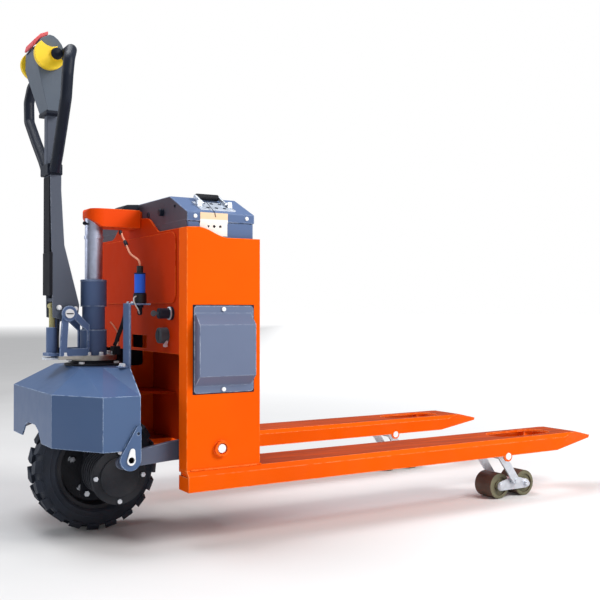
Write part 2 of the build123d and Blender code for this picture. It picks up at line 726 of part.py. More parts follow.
with BuildPart() as hood_fasteners:
    with BuildSketch(plan(HOOD_TOP + 5)) as heads:
        with Locations((0, 0)):
            with PolarLocations(FLANGE_BOLT_R, 4, start_angle=45):
                RegularPolygon(7.0, 6)
    extrude(heads.sketch, amount=5.0)
    for sign in (-1, 1):
        rod(side(-283.0) if sign < 0 else side(HOOD_SIDE + 12), LUG, LUG_PIN_R, HOOD_SIDE + 12 - 283.0)
save(hood_fasteners.part, "hood_fasteners")

# ---------------------------------------------------------------- lift sensor on its bracket
SENSOR_AT = (62.0, -160.0)
BRACKET_TOP = 562.0
SENSOR_TOP = 657.0
with BuildPart() as sensor_bracket:
    bar(plan(HOOD_TOP), (27.0, -181.0), (32.0, -139.0), BRACKET_TOP - HOOD_TOP)
    bar(plan(BRACKET_TOP), (27.0, -181.0), (82.0, -139.0), 4.0)
    bar(plan(HOOD_TOP), (7.0, -175.0), (27.0, -145.0), 4.0)
save(sensor_bracket.part, "sensor_bracket")

with BuildPart() as sensor:
    rod(plan(BRACKET_TOP + 4), SENSOR_AT, 16.0, 22.0)
    rod(plan(BRACKET_TOP + 26), SENSOR_AT, 13.3, 52.0)
    rod(plan(BRACKET_TOP + 78), SENSOR_AT, 8.0, SENSOR_TOP - BRACKET_TOP - 78)
save(sensor.part, "lift_sensor")

WIRE_R = 2.5
WIRE_POINTS = [
    (62, -160, SENSOR_TOP),
    (62, -160, 668),
    (57, -146, 677),
    (49, -128, 687),
    (47.5, -112, 705),
    (48, -93, 722),
    (48, -75, 735),
    (52, -57, 748),
]


def wire_radii(points):
    """Bend radius for each inner corner: 0.45 of the shorter run over the tangent of half the turn."""
    corners = [Vector(*p) for p in points]
    radii = []
    for before, here, after in zip(corners, corners[1:], corners[2:]):
        arrive, leave = here - before, after - here
        turn = radians(arrive.get_angle(leave))
        radii.append(0.45 * min(arrive.length, leave.length) / (sin(turn / 2) / cos(turn / 2)))
    return radii


with BuildPart() as wire:
    with BuildLine() as route:
        FilletPolyline(
            *[(STEER_X + x, y, z) for x, y, z in WIRE_POINTS],
            radius=wire_radii(WIRE_POINTS),
        )
    with BuildSketch(Plane(origin=route.line @ 0, z_dir=route.line % 0)) as section:
        Circle(WIRE_R)
    sweep(section.sketch, path=route.line)
print("wire bend radii", [round(r) for r in wire_radii(WIRE_POINTS)])
save(wire.part, "sensor_wire")

# ---------------------------------------------------------------- steering unit
with BuildPart() as steering_plate:
    rod(plan(STEER_DISC_LOW), (0, 0), 58.0, STEER_DISC_TOP - STEER_DISC_LOW)
    for low_y in (-42.0, 30.0):
        bar(plan(428.0), (-100.0, low_y), (-20.0, low_y + 12), STEER_DISC_TOP - 428.0)
save(steering_plate.part, "steering_plate")

CARRIER_TOP = 384.0
with BuildPart() as carrier:
    bar(plan(372.0), (-60.0, -84.0), (60.0, 72.0), CARRIER_TOP - 372.0, corner=10.0)
    rod(plan(CARRIER_TOP), (0, 0), STEM_R, STEER_DISC_LOW - CARRIER_TOP)
    for leg_y in (-72.0, 72.0):
        with BuildSketch(side(leg_y)) as leg:
            Polygon((-58, 372), (-44, 250), (-58, 100), (-30, 86), (46, 110), (44, 250), (58, 372), align=None)
            with Locations((0, WHEEL_R)):
                Circle(50.0)
        extrude(leg.sketch, amount=10.0)
    rod(side(80.0), (0, WHEEL_R), AXLE_R, 170.0, Mode.SUBTRACT)
save(carrier.part, "wheel_carrier")

MOTOR_FACE = -190.0
with BuildPart() as motor:
    rod(side(-82.0), (0, WHEEL_R), 58.0, 10.0)
    rod(side(-92.0), (0, WHEEL_R), 52.0, 86.0)
    rod(side(-178.0), (0, WHEEL_R), 66.0, 12.0)
    rod(side(MOTOR_FACE), (0, WHEEL_R), 47.0, 6.0)
    for fin in range(5):
        rod(side(-98.0 - 15 * fin), (0, WHEEL_R), 57.0, 7.0)
save(motor.part, "drive_motor")

with BuildPart() as steer_bolts:
    with BuildSketch(side(MOTOR_FACE)) as heads:
        with Locations((0, WHEEL_R)):
            with PolarLocations(58.0, 4, start_angle=0):
                RegularPolygon(6.0, 6)
    extrude(heads.sketch, amount=5.0)
    with BuildSketch(plan(STEER_DISC_TOP)) as plate_heads:
        with Locations((45, -17), (45, 17), (4, -48), (4, 48)):
            RegularPolygon(6.0, 6)
    extrude(plate_heads.sketch, amount=5.0)
    with BuildSketch(side(-82.0)) as leg_head:
        with Locations((-44.0, 103.0)):
            RegularPolygon(7.0, 6)
    extrude(leg_head.sketch, amount=5.0)
save(steer_bolts.part, "steer_bolts")

with BuildPart() as axle:
    rod(side(76.0), (0, WHEEL_R), AXLE_R, 158.0)
    rod(side(80.0), (0, WHEEL_R), 18.0, 8.0)
save(axle.part, "wheel_axle")

with BuildPart() as pump:
    rod(plan(STEER_DISC_TOP), (0, 0), 33.0, 63.0)
    bar(plan(STEER_DISC_TOP), (BARREL_X - 16, -24.0), (-20.0, 24.0), 8.0)
    rod(plan(STEER_DISC_TOP + 8), (BARREL_X, 0), 14.0, 63.0)
    rod(plan(446.0), (BARREL_X, 0), 7.5 + RUN, 84.0, Mode.SUBTRACT)
    rod(plan(444.0), (0, 0), RAM_R + RUN, 80.0, Mode.SUBTRACT)
    for ear_y in (24.0, -20.0):
        bar(side(ear_y), (-76.0, 425.5), (-63.0, STEER_DISC_TOP), 4.0)
    rod(side(30.0), (-69.5, 430.5), 3.06, 60.0, Mode.SUBTRACT)
save(pump.part, "pump_block")

with BuildPart() as cylinder:
    rod(plan(499.0), (0, 0), 28.5, 61.0)
    rod(plan(560.0), (0, 0), 32.5, 67.0)
    fillet(cylinder.edges().filter_by(GeomType.CIRCLE).sort_by(Axis.Z)[-1], 3.0)
    rod(plan(498.0), (0, 0), RAM_R + RUN, 140.0, Mode.SUBTRACT)
save(cylinder.part, "lift_cylinder")

with BuildPart() as brackets:
    for near_y in (BRACKET_Y + BRACKET_SHEET, -BRACKET_Y):
        with BuildSketch(side(near_y)) as outline:
            Polygon(
                (-98, STEER_DISC_TOP),
                (-14, STEER_DISC_TOP),
                (-14, 503),
                (TILLER_PIVOT[0] + 12, TILLER_PIVOT[1] + 11),
                (TILLER_PIVOT[0] - 16, TILLER_PIVOT[1]),
                align=None,
            )
            with Locations(TILLER_PIVOT):
                Circle(16.5)
            Polygon((-80, 455), (-29, 455), (-29, 497), (-62, 528), (-76, 520), align=None, mode=Mode.SUBTRACT)
            with Locations(TILLER_PIVOT):
                Circle(TILLER_PIN_R, mode=Mode.SUBTRACT)
            with Locations((0, 500)):
                Rectangle(2 * 24.0, 200, mode=Mode.SUBTRACT)
        extrude(outline.sketch, amount=BRACKET_SHEET)
save(brackets.part, "tiller_brackets")

with BuildPart() as tiller_pin:
    rod(side(48.0), TILLER_PIVOT, TILLER_PIN_R, 96.0)
    rod(side(48.0), TILLER_PIVOT, 11.0, 5.0)
    rod(side(-43.0), TILLER_PIVOT, 11.0, 5.0)
save(tiller_pin.part, "tiller_pin")

with BuildPart() as pedal:
    rod(side(19.0), (-69.5, 430.5), 5.0, 38.0)
    bar(plan(427.5), (-126.0, -18.0), (-70.0, 18.0), 5.0)
    rod(side(25.0), (-69.5, 430.5), 3.0, 50.0)
save(pedal.part, "release_pedal")

ROLLER_Z = 560.0
with BuildPart() as piston:
    rod(plan(488.0), (BARREL_X, 0), 7.5, ROLLER_Z - 488.0)
    rod(side(13.0), (BARREL_X, ROLLER_Z), 8.0, 26.0)
save(piston.part, "pump_piston")

# ---------------------------------------------------------------- tiller
COLLAR_LOW = 884.0
COLLAR_TOP = 908.0
COLLAR_HALF = 31.0
with BuildPart() as tiller:
    arm_outline = [
        (-112, 532),
        (-116, 700),
        (-119, 850),
        (-119, COLLAR_LOW),
        (-92, COLLAR_LOW),
        (-92, 845),
        (-84, 710),
        (-46, 562),
        (-50, 530),
        (-75, 522),
    ]
    slab(side(TILLER_HALF), arm_outline, 2 * TILLER_HALF)
    inner_outline = [
        (-140, 500),
        (-140, COLLAR_LOW - 5),
        (-100, COLLAR_LOW - 5),
        (-97, 845),
        (-89, 710),
        (-51, 562),
        (-40, 500),
    ]
    slab(side(TILLER_HALF - 4), inner_outline, 2 * TILLER_HALF - 8, Mode.SUBTRACT)
    rod(side(TILLER_HALF), TILLER_PIVOT, TILLER_PIN_R + 5, 2 * TILLER_HALF)
    rod(side(TILLER_HALF + 1), TILLER_PIVOT, TILLER_PIN_R + RUN, 2 * TILLER_HALF + 2, Mode.SUBTRACT)
    rod(side(TILLER_HALF - 2), (BARREL_X + 1, ROLLER_Z + 15), 6.0, 2 * TILLER_HALF - 4)
    bar(plan(COLLAR_LOW), (-126.0, -COLLAR_HALF), (-91.0, COLLAR_HALF), COLLAR_TOP - COLLAR_LOW)
    bar(plan(COLLAR_TOP), (-124.0, -12.0), (-92.0, 12.0), HEAD_LOW - COLLAR_TOP, corner=4.0)
save(tiller.part, "tiller_arm")

LOOP_POINTS = [
    (-88, -HEAD_HALF_TOP, 1178),
    (-88, -84, 1178),
    (-100, -132, 1166),
    (-114, -162, 1136),
    (-120, -170, 1096),
    (-121, -162, 1044),
    (-116, -112, 984),
    (-111, -62, 928),
    (-109, -22, 880),
]
with BuildPart() as loops:
    with BuildLine() as loop_line:
        FilletPolyline(*[(STEER_X + x, y, z) for x, y, z in LOOP_POINTS], radius=24.0)
    with BuildSketch(Plane(origin=loop_line.line @ 0, z_dir=loop_line.line % 0)) as section:
        Circle(LOOP_R)
    sweep(section.sketch, path=loop_line.line)
    bar(plan(COLLAR_LOW - 50), (-135.0, -60.0), (-85.0, 0.0), 52.0, Mode.SUBTRACT)
    bar(plan(COLLAR_LOW), (-135.0, -COLLAR_HALF), (-85.0, 0.0), COLLAR_TOP - COLLAR_LOW, Mode.SUBTRACT)
    mirror(about=Plane.XZ)
save(loops.part, "handle_loops")

HEAD_OUTLINE = [
    (-128, HEAD_LOW),
    (-150, 1115),
    (-160, 1150),
    (-159, 1190),
    (-148, 1208),
    (-128, 1219),
    (-118, 1217),
    (-108, 1210),
    (-99, 1199),
    (-93, 1186),
    (-90, 1165),
    (-90, 1140),
    (-92, 1104),
    (-100, HEAD_LOW),
]
with BuildPart() as head:
    slab(side(HEAD_HALF_TOP), HEAD_OUTLINE, 2 * HEAD_HALF_TOP)
    with BuildSketch(front(-200.0)) as taper:
        Polygon(
            (-HEAD_HALF_LOW, 1030),
            (HEAD_HALF_LOW, 1030),
            (HEAD_HALF_TOP, 1130),
            (HEAD_HALF_TOP, 1230),
            (-HEAD_HALF_TOP, 1230),
            (-HEAD_HALF_TOP, 1130),
            align=None,
        )
    extrude(taper.sketch, amount=200.0, mode=Mode.INTERSECT)
    rod(side(60.0), HEAD_HUB, 6.06, 120.0, Mode.SUBTRACT)
    slab(
        side(42.0),
        [
            (-180, 1186),
            (-157, 1186),
            (-145.5, 1204),
            (-124, 1215),
            (-124, 1250),
            (-180, 1250),
        ],
        84.0,
        Mode.SUBTRACT,
    )
save(head.part, "control_head")

WING_Y = 54.0
with BuildPart() as throttle:
    rod(side(WING_Y + 18), HEAD_HUB, 6.0, 2 * WING_Y + 36)
    for start in (WING_Y + 18, -WING_Y - 0.5):
        rod(side(start), HEAD_HUB, 15.0, 17.5)
        with BuildSketch(side(start)) as wing:
            with Locations((-131.0, 1167.0)):
                Circle(37.0)
            with Locations((-127.5, 1217.5)):
                Circle(32.0, mode=Mode.SUBTRACT)
            with Locations((-84.0, 1181.0)):
                Circle(30.0, mode=Mode.SUBTRACT)
        extrude(wing.sketch, amount=14.0)
save(throttle.part, "throttle_butterfly")

with BuildPart() as button:
    slab(
        side(40.0),
        [
            (-160.5, 1191),
            (-149.2, 1209.4),
            (-128, 1221.2),
            (-128, 1231),
            (-147, 1222),
            (-162, 1206),
            (-166, 1191),
        ],
        80.0,
    )
save(button.part, "reverse_button")

# ---------------------------------------------------------------- drive wheel
LUG_COUNT = 20
with BuildPart() as tyre:
    with BuildSketch(front(0)) as profile:
        Polygon(
            (-38, WHEEL_R + RIM_R),
            (-TYRE_HALF, WHEEL_R + 121),
            (-TYRE_HALF, WHEEL_R + 141),
            (-36, 2 * WHEEL_R),
            (36, 2 * WHEEL_R),
            (TYRE_HALF, WHEEL_R + 141),
            (TYRE_HALF, WHEEL_R + 121),
            (38, WHEEL_R + RIM_R),
            align=None,
        )
    revolve(profile.sketch, axis=Axis((STEER_X, 0, WHEEL_R), (0, 1, 0)))
    for shoulder, turn in ((TYRE_HALF + 1, 0.0), (-14.0, 0.5)):
        with BuildSketch(side(shoulder)) as grooves:
            with Locations((0, WHEEL_R)):
                with PolarLocations(WHEEL_R - 2, LUG_COUNT, start_angle=turn * 360 / LUG_COUNT):
                    Rectangle(24.0, 15.0)
        extrude(grooves.sketch, amount=TYRE_HALF + 1 - 14, mode=Mode.SUBTRACT)
save(tyre.part, "drive_tyre")

with BuildPart() as rim:
    with BuildSketch(front(0)) as section:
        Polygon(
            (-36, WHEEL_R + AXLE_R + RUN),
            (-36, WHEEL_R + 32),
            (-14, WHEEL_R + 40),
            (-10, WHEEL_R + 88),
            (-38, WHEEL_R + 94),
            (-38, WHEEL_R + RIM_R),
            (38, WHEEL_R + RIM_R),
            (38, WHEEL_R + 94),
            (2, WHEEL_R + 88),
            (2, WHEEL_R + 40),
            (36, WHEEL_R + 32),
            (36, WHEEL_R + AXLE_R + RUN),
            align=None,
        )
    revolve(section.sketch, axis=Axis((STEER_X, 0, WHEEL_R), (0, 1, 0)))
save(rim.part, "drive_rim")

print("lift", LIFT, "load arm swing", round(degrees(ARM_SWING), 3), "link swing", round(degrees(LINK_SWING), 3))
print("rod travel", round(ROD_TRAVEL, 3), "rod ends", ROD_FRONT, ROD_REAR)
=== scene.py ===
import json
from math import cos, pi, radians, sin

import bmesh
import bpy
from mathutils import Matrix, Vector


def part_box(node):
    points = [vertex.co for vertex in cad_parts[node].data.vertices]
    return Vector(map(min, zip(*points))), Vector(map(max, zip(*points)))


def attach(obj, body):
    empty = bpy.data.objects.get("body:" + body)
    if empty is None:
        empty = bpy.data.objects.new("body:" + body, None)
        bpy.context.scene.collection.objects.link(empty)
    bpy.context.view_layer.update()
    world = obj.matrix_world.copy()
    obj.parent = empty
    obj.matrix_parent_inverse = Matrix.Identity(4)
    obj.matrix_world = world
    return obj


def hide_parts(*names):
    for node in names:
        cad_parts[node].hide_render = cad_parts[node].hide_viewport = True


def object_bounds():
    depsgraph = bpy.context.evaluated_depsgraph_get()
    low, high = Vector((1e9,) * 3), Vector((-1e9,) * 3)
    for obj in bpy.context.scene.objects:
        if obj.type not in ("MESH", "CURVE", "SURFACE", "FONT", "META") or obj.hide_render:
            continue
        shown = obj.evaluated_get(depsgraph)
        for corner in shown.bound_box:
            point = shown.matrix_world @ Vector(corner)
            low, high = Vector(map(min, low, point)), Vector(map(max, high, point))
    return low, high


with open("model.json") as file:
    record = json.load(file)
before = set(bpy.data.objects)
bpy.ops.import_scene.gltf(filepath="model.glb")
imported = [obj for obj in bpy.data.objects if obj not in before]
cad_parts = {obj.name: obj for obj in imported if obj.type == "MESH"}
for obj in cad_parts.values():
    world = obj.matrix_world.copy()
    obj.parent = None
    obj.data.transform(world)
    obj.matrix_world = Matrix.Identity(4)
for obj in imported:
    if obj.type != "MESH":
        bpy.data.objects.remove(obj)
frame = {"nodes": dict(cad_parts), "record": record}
cad_low, cad_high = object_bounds()

MM = 0.001
ram_low, ram_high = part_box("lift_ram")
AXIS_X = (ram_low.x + ram_high.x) / 2


def at(x, y, z):
    """A point x mm ahead of the steering axis, y mm left of the centre plane and z mm above the floor."""
    return Vector((AXIS_X + x * MM, y * MM, z * MM))


# ---------------------------------------------------------------- materials
DUST_HEIGHT = 0.45
DUST_COLOUR = (0.36, 0.31, 0.25)


class Shade:
    """A procedural material, built up from noise fields in the part's own coordinates."""

    def __init__(self, name, colour, roughness, metallic=0.0, gloss=0.5):
        self.material = bpy.data.materials.new(name)
        self.material.use_nodes = True
        self.tree = self.material.node_tree
        self.shader = self.tree.nodes["Principled BSDF"]
        self.colour = None
        self.base = (*colour, 1.0)
        self.rough = roughness
        self.normal = None
        self.shader.inputs["Base Color"].default_value = self.base
        self.shader.inputs["Roughness"].default_value = roughness
        self.shader.inputs["Metallic"].default_value = metallic
        self.shader.inputs["Specular IOR Level"].default_value = gloss
        self.coords = self.add("ShaderNodeTexCoord").outputs["Object"]

    def add(self, kind, **settings):
        node = self.tree.nodes.new(kind)
        for key, value in settings.items():
            setattr(node, key, value)
        return node

    def join(self, source, socket):
        """Feeds a socket from a number, a colour or another node's output."""
        if isinstance(source, (int, float, tuple)):
            socket.default_value = source
        else:
            self.tree.links.new(source, socket)

    def noise(self, scale, detail=3.0, stretch=(1, 1, 1)):
        """Noise from 0 to 1, with scale in features per metre."""
        mapping = self.add("ShaderNodeMapping")
        mapping.inputs["Scale"].default_value = stretch
        self.join(self.coords, mapping.inputs["Vector"])
        node = self.add("ShaderNodeTexNoise")
        node.inputs["Scale"].default_value = scale
        node.inputs["Detail"].default_value = detail
        self.join(mapping.outputs["Vector"], node.inputs["Vector"])
        return node.outputs["Fac"]

    def spread(self, value, low, high, to_low=0.0, to_high=1.0):
        """Maps a value from one range to another, clamped."""
        node = self.add("ShaderNodeMapRange", clamp=True)
        self.join(value, node.inputs["Value"])
        for key, number in zip(("From Min", "From Max", "To Min", "To Max"), (low, high, to_low, to_high)):
            node.inputs[key].default_value = number
        return node.outputs["Result"]

    def math(self, operation, a, b):
        node = self.add("ShaderNodeMath", operation=operation, use_clamp=False)
        self.join(a, node.inputs[0])
        self.join(b, node.inputs[1])
        return node.outputs["Value"]

    def tint(self, factor, colour):
        """Mixes the colour so far towards another one."""
        node = self.add("ShaderNodeMix", data_type="RGBA")
        self.join(factor, node.inputs[0])
        self.join(self.base if self.colour is None else self.colour, node.inputs[6])
        self.join((*colour, 1.0), node.inputs[7])
        self.colour = node.outputs[2]

    def coarsen(self, factor, amount):
        """Adds to the roughness where factor is high."""
        self.rough = self.math("ADD", self.math("MULTIPLY", factor, amount), self.rough)

    def bump(self, height, distance, strength=1.0):
        node = self.add("ShaderNodeBump")
        node.inputs["Strength"].default_value = strength
        node.inputs["Distance"].default_value = distance
        self.join(height, node.inputs["Height"])
        if self.normal is not None:
            self.join(self.normal, node.inputs["Normal"])
        self.normal = node.outputs["Normal"]

    def axis_value(self, axis):
        """The object-space coordinate along X, Y or Z."""
        node = self.add("ShaderNodeSeparateXYZ")
        self.join(self.coords, node.inputs["Vector"])
        return node.outputs[axis]

    def facing(self, axis):
        """How far the surface faces along X, Y or Z, from -1 to 1."""
        geometry = self.add("ShaderNodeNewGeometry")
        split = self.add("ShaderNodeSeparateXYZ")
        self.join(geometry.outputs["Normal"], split.inputs["Vector"])
        return split.outputs[axis]

    def edges(self, radius):
        """A mask that is 1 on sharp edges and 0 on faces."""
        bevel = self.add("ShaderNodeBevel", samples=3)
        bevel.inputs["Radius"].default_value = radius
        geometry = self.add("ShaderNodeNewGeometry")
        dot = self.add("ShaderNodeVectorMath", operation="DOT_PRODUCT")
        self.join(bevel.outputs["Normal"], dot.inputs[0])
        self.join(geometry.outputs["Normal"], dot.inputs[1])
        return self.spread(dot.outputs["Value"], 0.985, 0.86)

    def mottle(self, scale, share, darker):
        """Slow patches of a slightly different colour."""
        self.tint(self.spread(self.noise(scale, 4), 0.35, 0.7, 0.0, share), darker)

    def dust(self, share):
        """Pale dust that thins out with height above the floor."""
        low = self.spread(self.axis_value("Z"), 0.0, DUST_HEIGHT, 1.0, 0.12)
        patch = self.spread(self.noise(14, 6), 0.38, 0.72)
        mask = self.math("MULTIPLY", self.math("MULTIPLY", low, patch), share)
        self.tint(mask, DUST_COLOUR)
        self.coarsen(mask, 0.35)

    def wear_and_edge_highlight(self, share, worn_edge_highlight, radius=0.003):
        """Rubbed edges in a lighter colour that is also a painted edge highlight, broken up by noise."""
        broken = self.spread(self.noise(60, 5), 0.36, 0.55)
        mask = self.math("MULTIPLY", self.math("MULTIPLY", self.edges(radius), broken), share)
        self.tint(mask, worn_edge_highlight)

    def done(self):
        if self.colour is not None:
            self.join(self.colour, self.shader.inputs["Base Color"])
        if not isinstance(self.rough, (int, float)):
            self.join(self.rough, self.shader.inputs["Roughness"])
        if self.normal is not None:
            self.join(self.normal, self.shader.inputs["Normal"])
        return self.material


def enamel(name, colour, darker, worn_edge_highlight, roughness, coat, peel, dust, wear_and_edge_highlight, gloss=0.22):
    """Powder-coated steel: orange peel, slow colour drift, rubbed edges lightened as painted highlights,
    and a little dust.
    """
    s = Shade(name, colour, roughness, gloss=gloss)
    s.shader.inputs["Coat Weight"].default_value = coat
    s.shader.inputs["Coat Roughness"].default_value = 0.12
    s.mottle(5, 0.5, darker)
    s.wear_and_edge_highlight(wear_and_edge_highlight, worn_edge_highlight)
    s.dust(dust)
    s.coarsen(s.noise(30, 4), 0.16)
    s.bump(s.noise(520, 2), 0.00035, peel)
    s.bump(s.noise(9, 2), 0.0012, 0.25)
    return s.done()


def polymer(name, colour, lighter, roughness, grain, dust=0.1, gloss=0.25):
    """Moulded plastic with a fine spark-eroded grain."""
    s = Shade(name, colour, roughness, gloss=gloss)
    s.mottle(16, 0.5, lighter)
    s.wear_and_edge_highlight(0.5, lighter, 0.0015)
    s.dust(dust)
    s.coarsen(s.noise(45, 4), 0.18)
    s.bump(s.noise(1400, 2), 0.00025, grain)
    return s.done()


def plated(name, colour, roughness, stretch=(1, 1, 1), dust=0.15):
    """Bare or zinc-plated metal with spangle and fine drawing lines."""
    s = Shade(name, colour, roughness, 1.0)
    s.mottle(70, 0.6, tuple(c * 0.72 for c in colour))
    s.dust(dust)
    s.coarsen(s.noise(120, 5), 0.22)
    s.bump(s.noise(900, 3, stretch), 0.0002, 0.35)
    return s.done()


def soft_black(name, colour, roughness, grain_scale, grain, dust):
    """Rubber or black casting: dull, slightly greyed by dust, with a coarse skin."""
    s = Shade(name, colour, roughness, gloss=0.14)
    s.mottle(22, 0.6, tuple(c * 1.7 + 0.003 for c in colour))
    s.dust(dust)
    s.wear_and_edge_highlight(0.45, tuple(c * 3 + 0.02 for c in colour), 0.003)
    s.coarsen(s.noise(60, 4), 0.15)
    s.bump(s.noise(grain_scale, 4), 0.0006, grain)
    return s.done()


ORANGE = (0.86, 0.104, 0.001)
DEEP_ORANGE = (0.76, 0.080, 0.001)

orange = enamel("orange_enamel", ORANGE, DEEP_ORANGE, (1.0, 0.32, 0.08),
                roughness=0.42, coat=0.0, peel=0.22, dust=0.008, wear_and_edge_highlight=0.9, gloss=0.03)
# Painted shade: the same orange paint, darkened for the walls, tray and door that face away from the lamps.
shaded_orange = enamel("shaded_orange_enamel", (0.50, 0.030, 0.001), (0.42, 0.023, 0.001), (0.95, 0.18, 0.03),
                    roughness=0.42, coat=0.0, peel=0.22, dust=0.008, wear_and_edge_highlight=0.8, gloss=0.03)
arm_orange = enamel("arm_enamel", (0.86, 0.068, 0.001), (0.76, 0.054, 0.001), (1.0, 0.26, 0.06),
                    roughness=0.38, coat=0.0, peel=0.22, dust=0.008, wear_and_edge_highlight=0.8, gloss=0.10)


def fork_enamel():
    """The orange enamel, darkened on upward faces as painted shade, in streaks like rubbing where they
    carry the load.
    """
    s = Shade("fork_enamel", ORANGE, 0.42, gloss=0.03)
    s.mottle(5, 0.5, DEEP_ORANGE)
    # Painted shade: faces that point up are darkened, broken into streaks by noise.
    top = s.spread(s.facing("Z"), 0.80, 0.97)
    drag = s.spread(s.noise(24, 5, (0.25, 2.5, 1)), 0.30, 0.62, 0.55, 1.0)
    s.tint(s.math("MULTIPLY", top, drag), (0.34, 0.050, 0.014))
    s.wear_and_edge_highlight(1.0, (1.0, 0.42, 0.18))
    s.dust(0.02)
    s.coarsen(s.noise(30, 4), 0.16)
    s.bump(s.noise(520, 2), 0.00035, 0.25)
    s.bump(s.noise(9, 2), 0.0012, 0.25)
    return s.done()


fork_scuffs_and_shade = fork_enamel()
hood_slate = enamel("hood_enamel", (0.060, 0.112, 0.232), (0.050, 0.094, 0.202), (0.50, 0.62, 0.82),
                    roughness=0.36, coat=0.28, peel=0.30, dust=0.03, wear_and_edge_highlight=1.0, gloss=0.16)
slate = enamel("slate_enamel", (0.098, 0.150, 0.285), (0.080, 0.126, 0.250), (0.50, 0.60, 0.78),
               roughness=0.38, coat=0.03, peel=0.45, dust=0.03, wear_and_edge_highlight=1.0, gloss=0.16)
cover_slate = enamel("cover_enamel", (0.135, 0.168, 0.262), (0.115, 0.145, 0.232), (0.60, 0.66, 0.76),
                     roughness=0.40, coat=0.03, peel=0.45, dust=0.03, wear_and_edge_highlight=1.0, gloss=0.16)
link_slate = enamel("link_enamel", (0.085, 0.100, 0.150), (0.070, 0.082, 0.125), (0.35, 0.37, 0.42),
                    roughness=0.45, coat=0.0, peel=0.45, dust=0.08, wear_and_edge_highlight=0.6, gloss=0.12)
charcoal = enamel("charcoal_enamel", (0.090, 0.104, 0.138), (0.072, 0.083, 0.112), (0.30, 0.33, 0.40),
                  roughness=0.46, coat=0.0, peel=0.6, dust=0.02, wear_and_edge_highlight=0.6, gloss=0.12)
black_metal = enamel("black_enamel", (0.012, 0.013, 0.018), (0.009, 0.010, 0.014), (0.06, 0.06, 0.07),
                     roughness=0.45, coat=0.0, peel=0.5, dust=0.02, wear_and_edge_highlight=0.4, gloss=0.07)
# Painted shade: a near-black tone for the panel over the lid's front face.
front_shade_panel = enamel("front_shade_panel", (0.060, 0.048, 0.068), (0.050, 0.040, 0.056), (0.20, 0.18, 0.22),
                    roughness=0.40, coat=0.0, peel=0.4, dust=0.03, wear_and_edge_highlight=0.4)
white_paint = enamel("white_enamel", (0.86, 0.87, 0.88), (0.76, 0.78, 0.80), (0.95, 0.95, 0.95),
                     roughness=0.35, coat=0.1, peel=0.3, dust=0.08, wear_and_edge_highlight=0.3, gloss=0.4)
black_plastic = polymer("black_nylon", (0.008, 0.011, 0.020), (0.014, 0.019, 0.034),
                        roughness=0.34, grain=0.5, dust=0.02, gloss=0.14)
head_plastic = polymer("grey_nylon", (0.092, 0.115, 0.150), (0.115, 0.138, 0.172),
                       roughness=0.44, grain=0.6, dust=0.02)
yellow = polymer("yellow_plastic", (0.88, 0.60, 0.020), (0.95, 0.70, 0.06),
                 roughness=0.30, grain=0.2, dust=0.02)
red = polymer("red_plastic", (0.62, 0.075, 0.085), (0.72, 0.14, 0.14),
              roughness=0.32, grain=0.2, dust=0.03)
socket_grey = polymer("grey_cap", (0.045, 0.050, 0.062), (0.08, 0.088, 0.10), roughness=0.42, grain=0.5)
rubber = soft_black("grip_rubber", (0.012, 0.013, 0.016),
                    roughness=0.50, grain_scale=700, grain=0.5, dust=0.03)
tyre_rubber = soft_black("tyre_rubber", (0.018, 0.023, 0.035),
                         roughness=0.50, grain_scale=260, grain=0.7, dust=0.05)
cast = soft_black("black_casting", (0.018, 0.020, 0.026),
                  roughness=0.42, grain_scale=420, grain=0.8, dust=0.05)
zinc = plated("zinc_plate", (0.74, 0.78, 0.84), roughness=0.40)
steel = plated("machined_steel", (0.50, 0.47, 0.42), roughness=0.36, stretch=(1, 1, 8))
chrome = plated("hard_chrome", (0.52, 0.56, 0.70), roughness=0.36, dust=0.0)
plate_zinc = plated("dull_zinc", (0.52, 0.56, 0.63), roughness=0.50)
heat_sink = plated("heat_sink", (0.50, 0.51, 0.53), roughness=0.42)
cable = polymer("orange_jacket", (0.80, 0.30, 0.18), (0.90, 0.42, 0.28),
                roughness=0.45, grain=0.3, dust=0.03)
grey_jacket = polymer("grey_jacket", (0.55, 0.55, 0.53), (0.66, 0.66, 0.64),
                      roughness=0.5, grain=0.3, dust=0.03)
gaiter = polymer("gaiter", (0.42, 0.38, 0.17), (0.52, 0.48, 0.26),
                 roughness=0.5, grain=0.4, dust=0.05)

# Heights in metres over which one colour gives way to the next.
SENSOR_BASE_EDGE = (0.5879, 0.5881)
SENSOR_CAP_EDGE = (0.6399, 0.6401)
LABEL_BAND_EDGE = (0.7622, 0.7628)
SENSOR_BLACK = (0.012, 0.013, 0.016)


def sensor_material():
    """A blue housing between a black base and a black cap."""
    s = Shade("sensor_housing", (0.012, 0.115, 0.72), 0.32, gloss=0.35)
    s.mottle(30, 0.4, (0.02, 0.16, 0.84))
    height = s.axis_value("Z")
    s.tint(s.spread(height, *SENSOR_BASE_EDGE, 1.0, 0.0), SENSOR_BLACK)
    s.tint(s.spread(height, *SENSOR_CAP_EDGE), SENSOR_BLACK)
    s.coarsen(s.noise(60, 4), 0.18)
    s.bump(s.noise(1200, 2), 0.0002, 0.3)
    return s.done()


def roller_material():
    """Polyurethane tread in brown, with olive-grey moulded faces."""
    s = Shade("polyurethane", (0.080, 0.048, 0.032), 0.34, gloss=0.35)
    face = s.spread(s.math("ABSOLUTE", s.facing("Y"), 0.0), 0.55, 0.8)
    s.tint(face, (0.155, 0.150, 0.085))
    s.mottle(40, 0.4, (0.05, 0.034, 0.022))
    s.dust(0.12)
    s.coarsen(s.noise(60, 5), 0.25)
    s.bump(s.noise(300, 4), 0.0005, 0.4)
    return s.done()


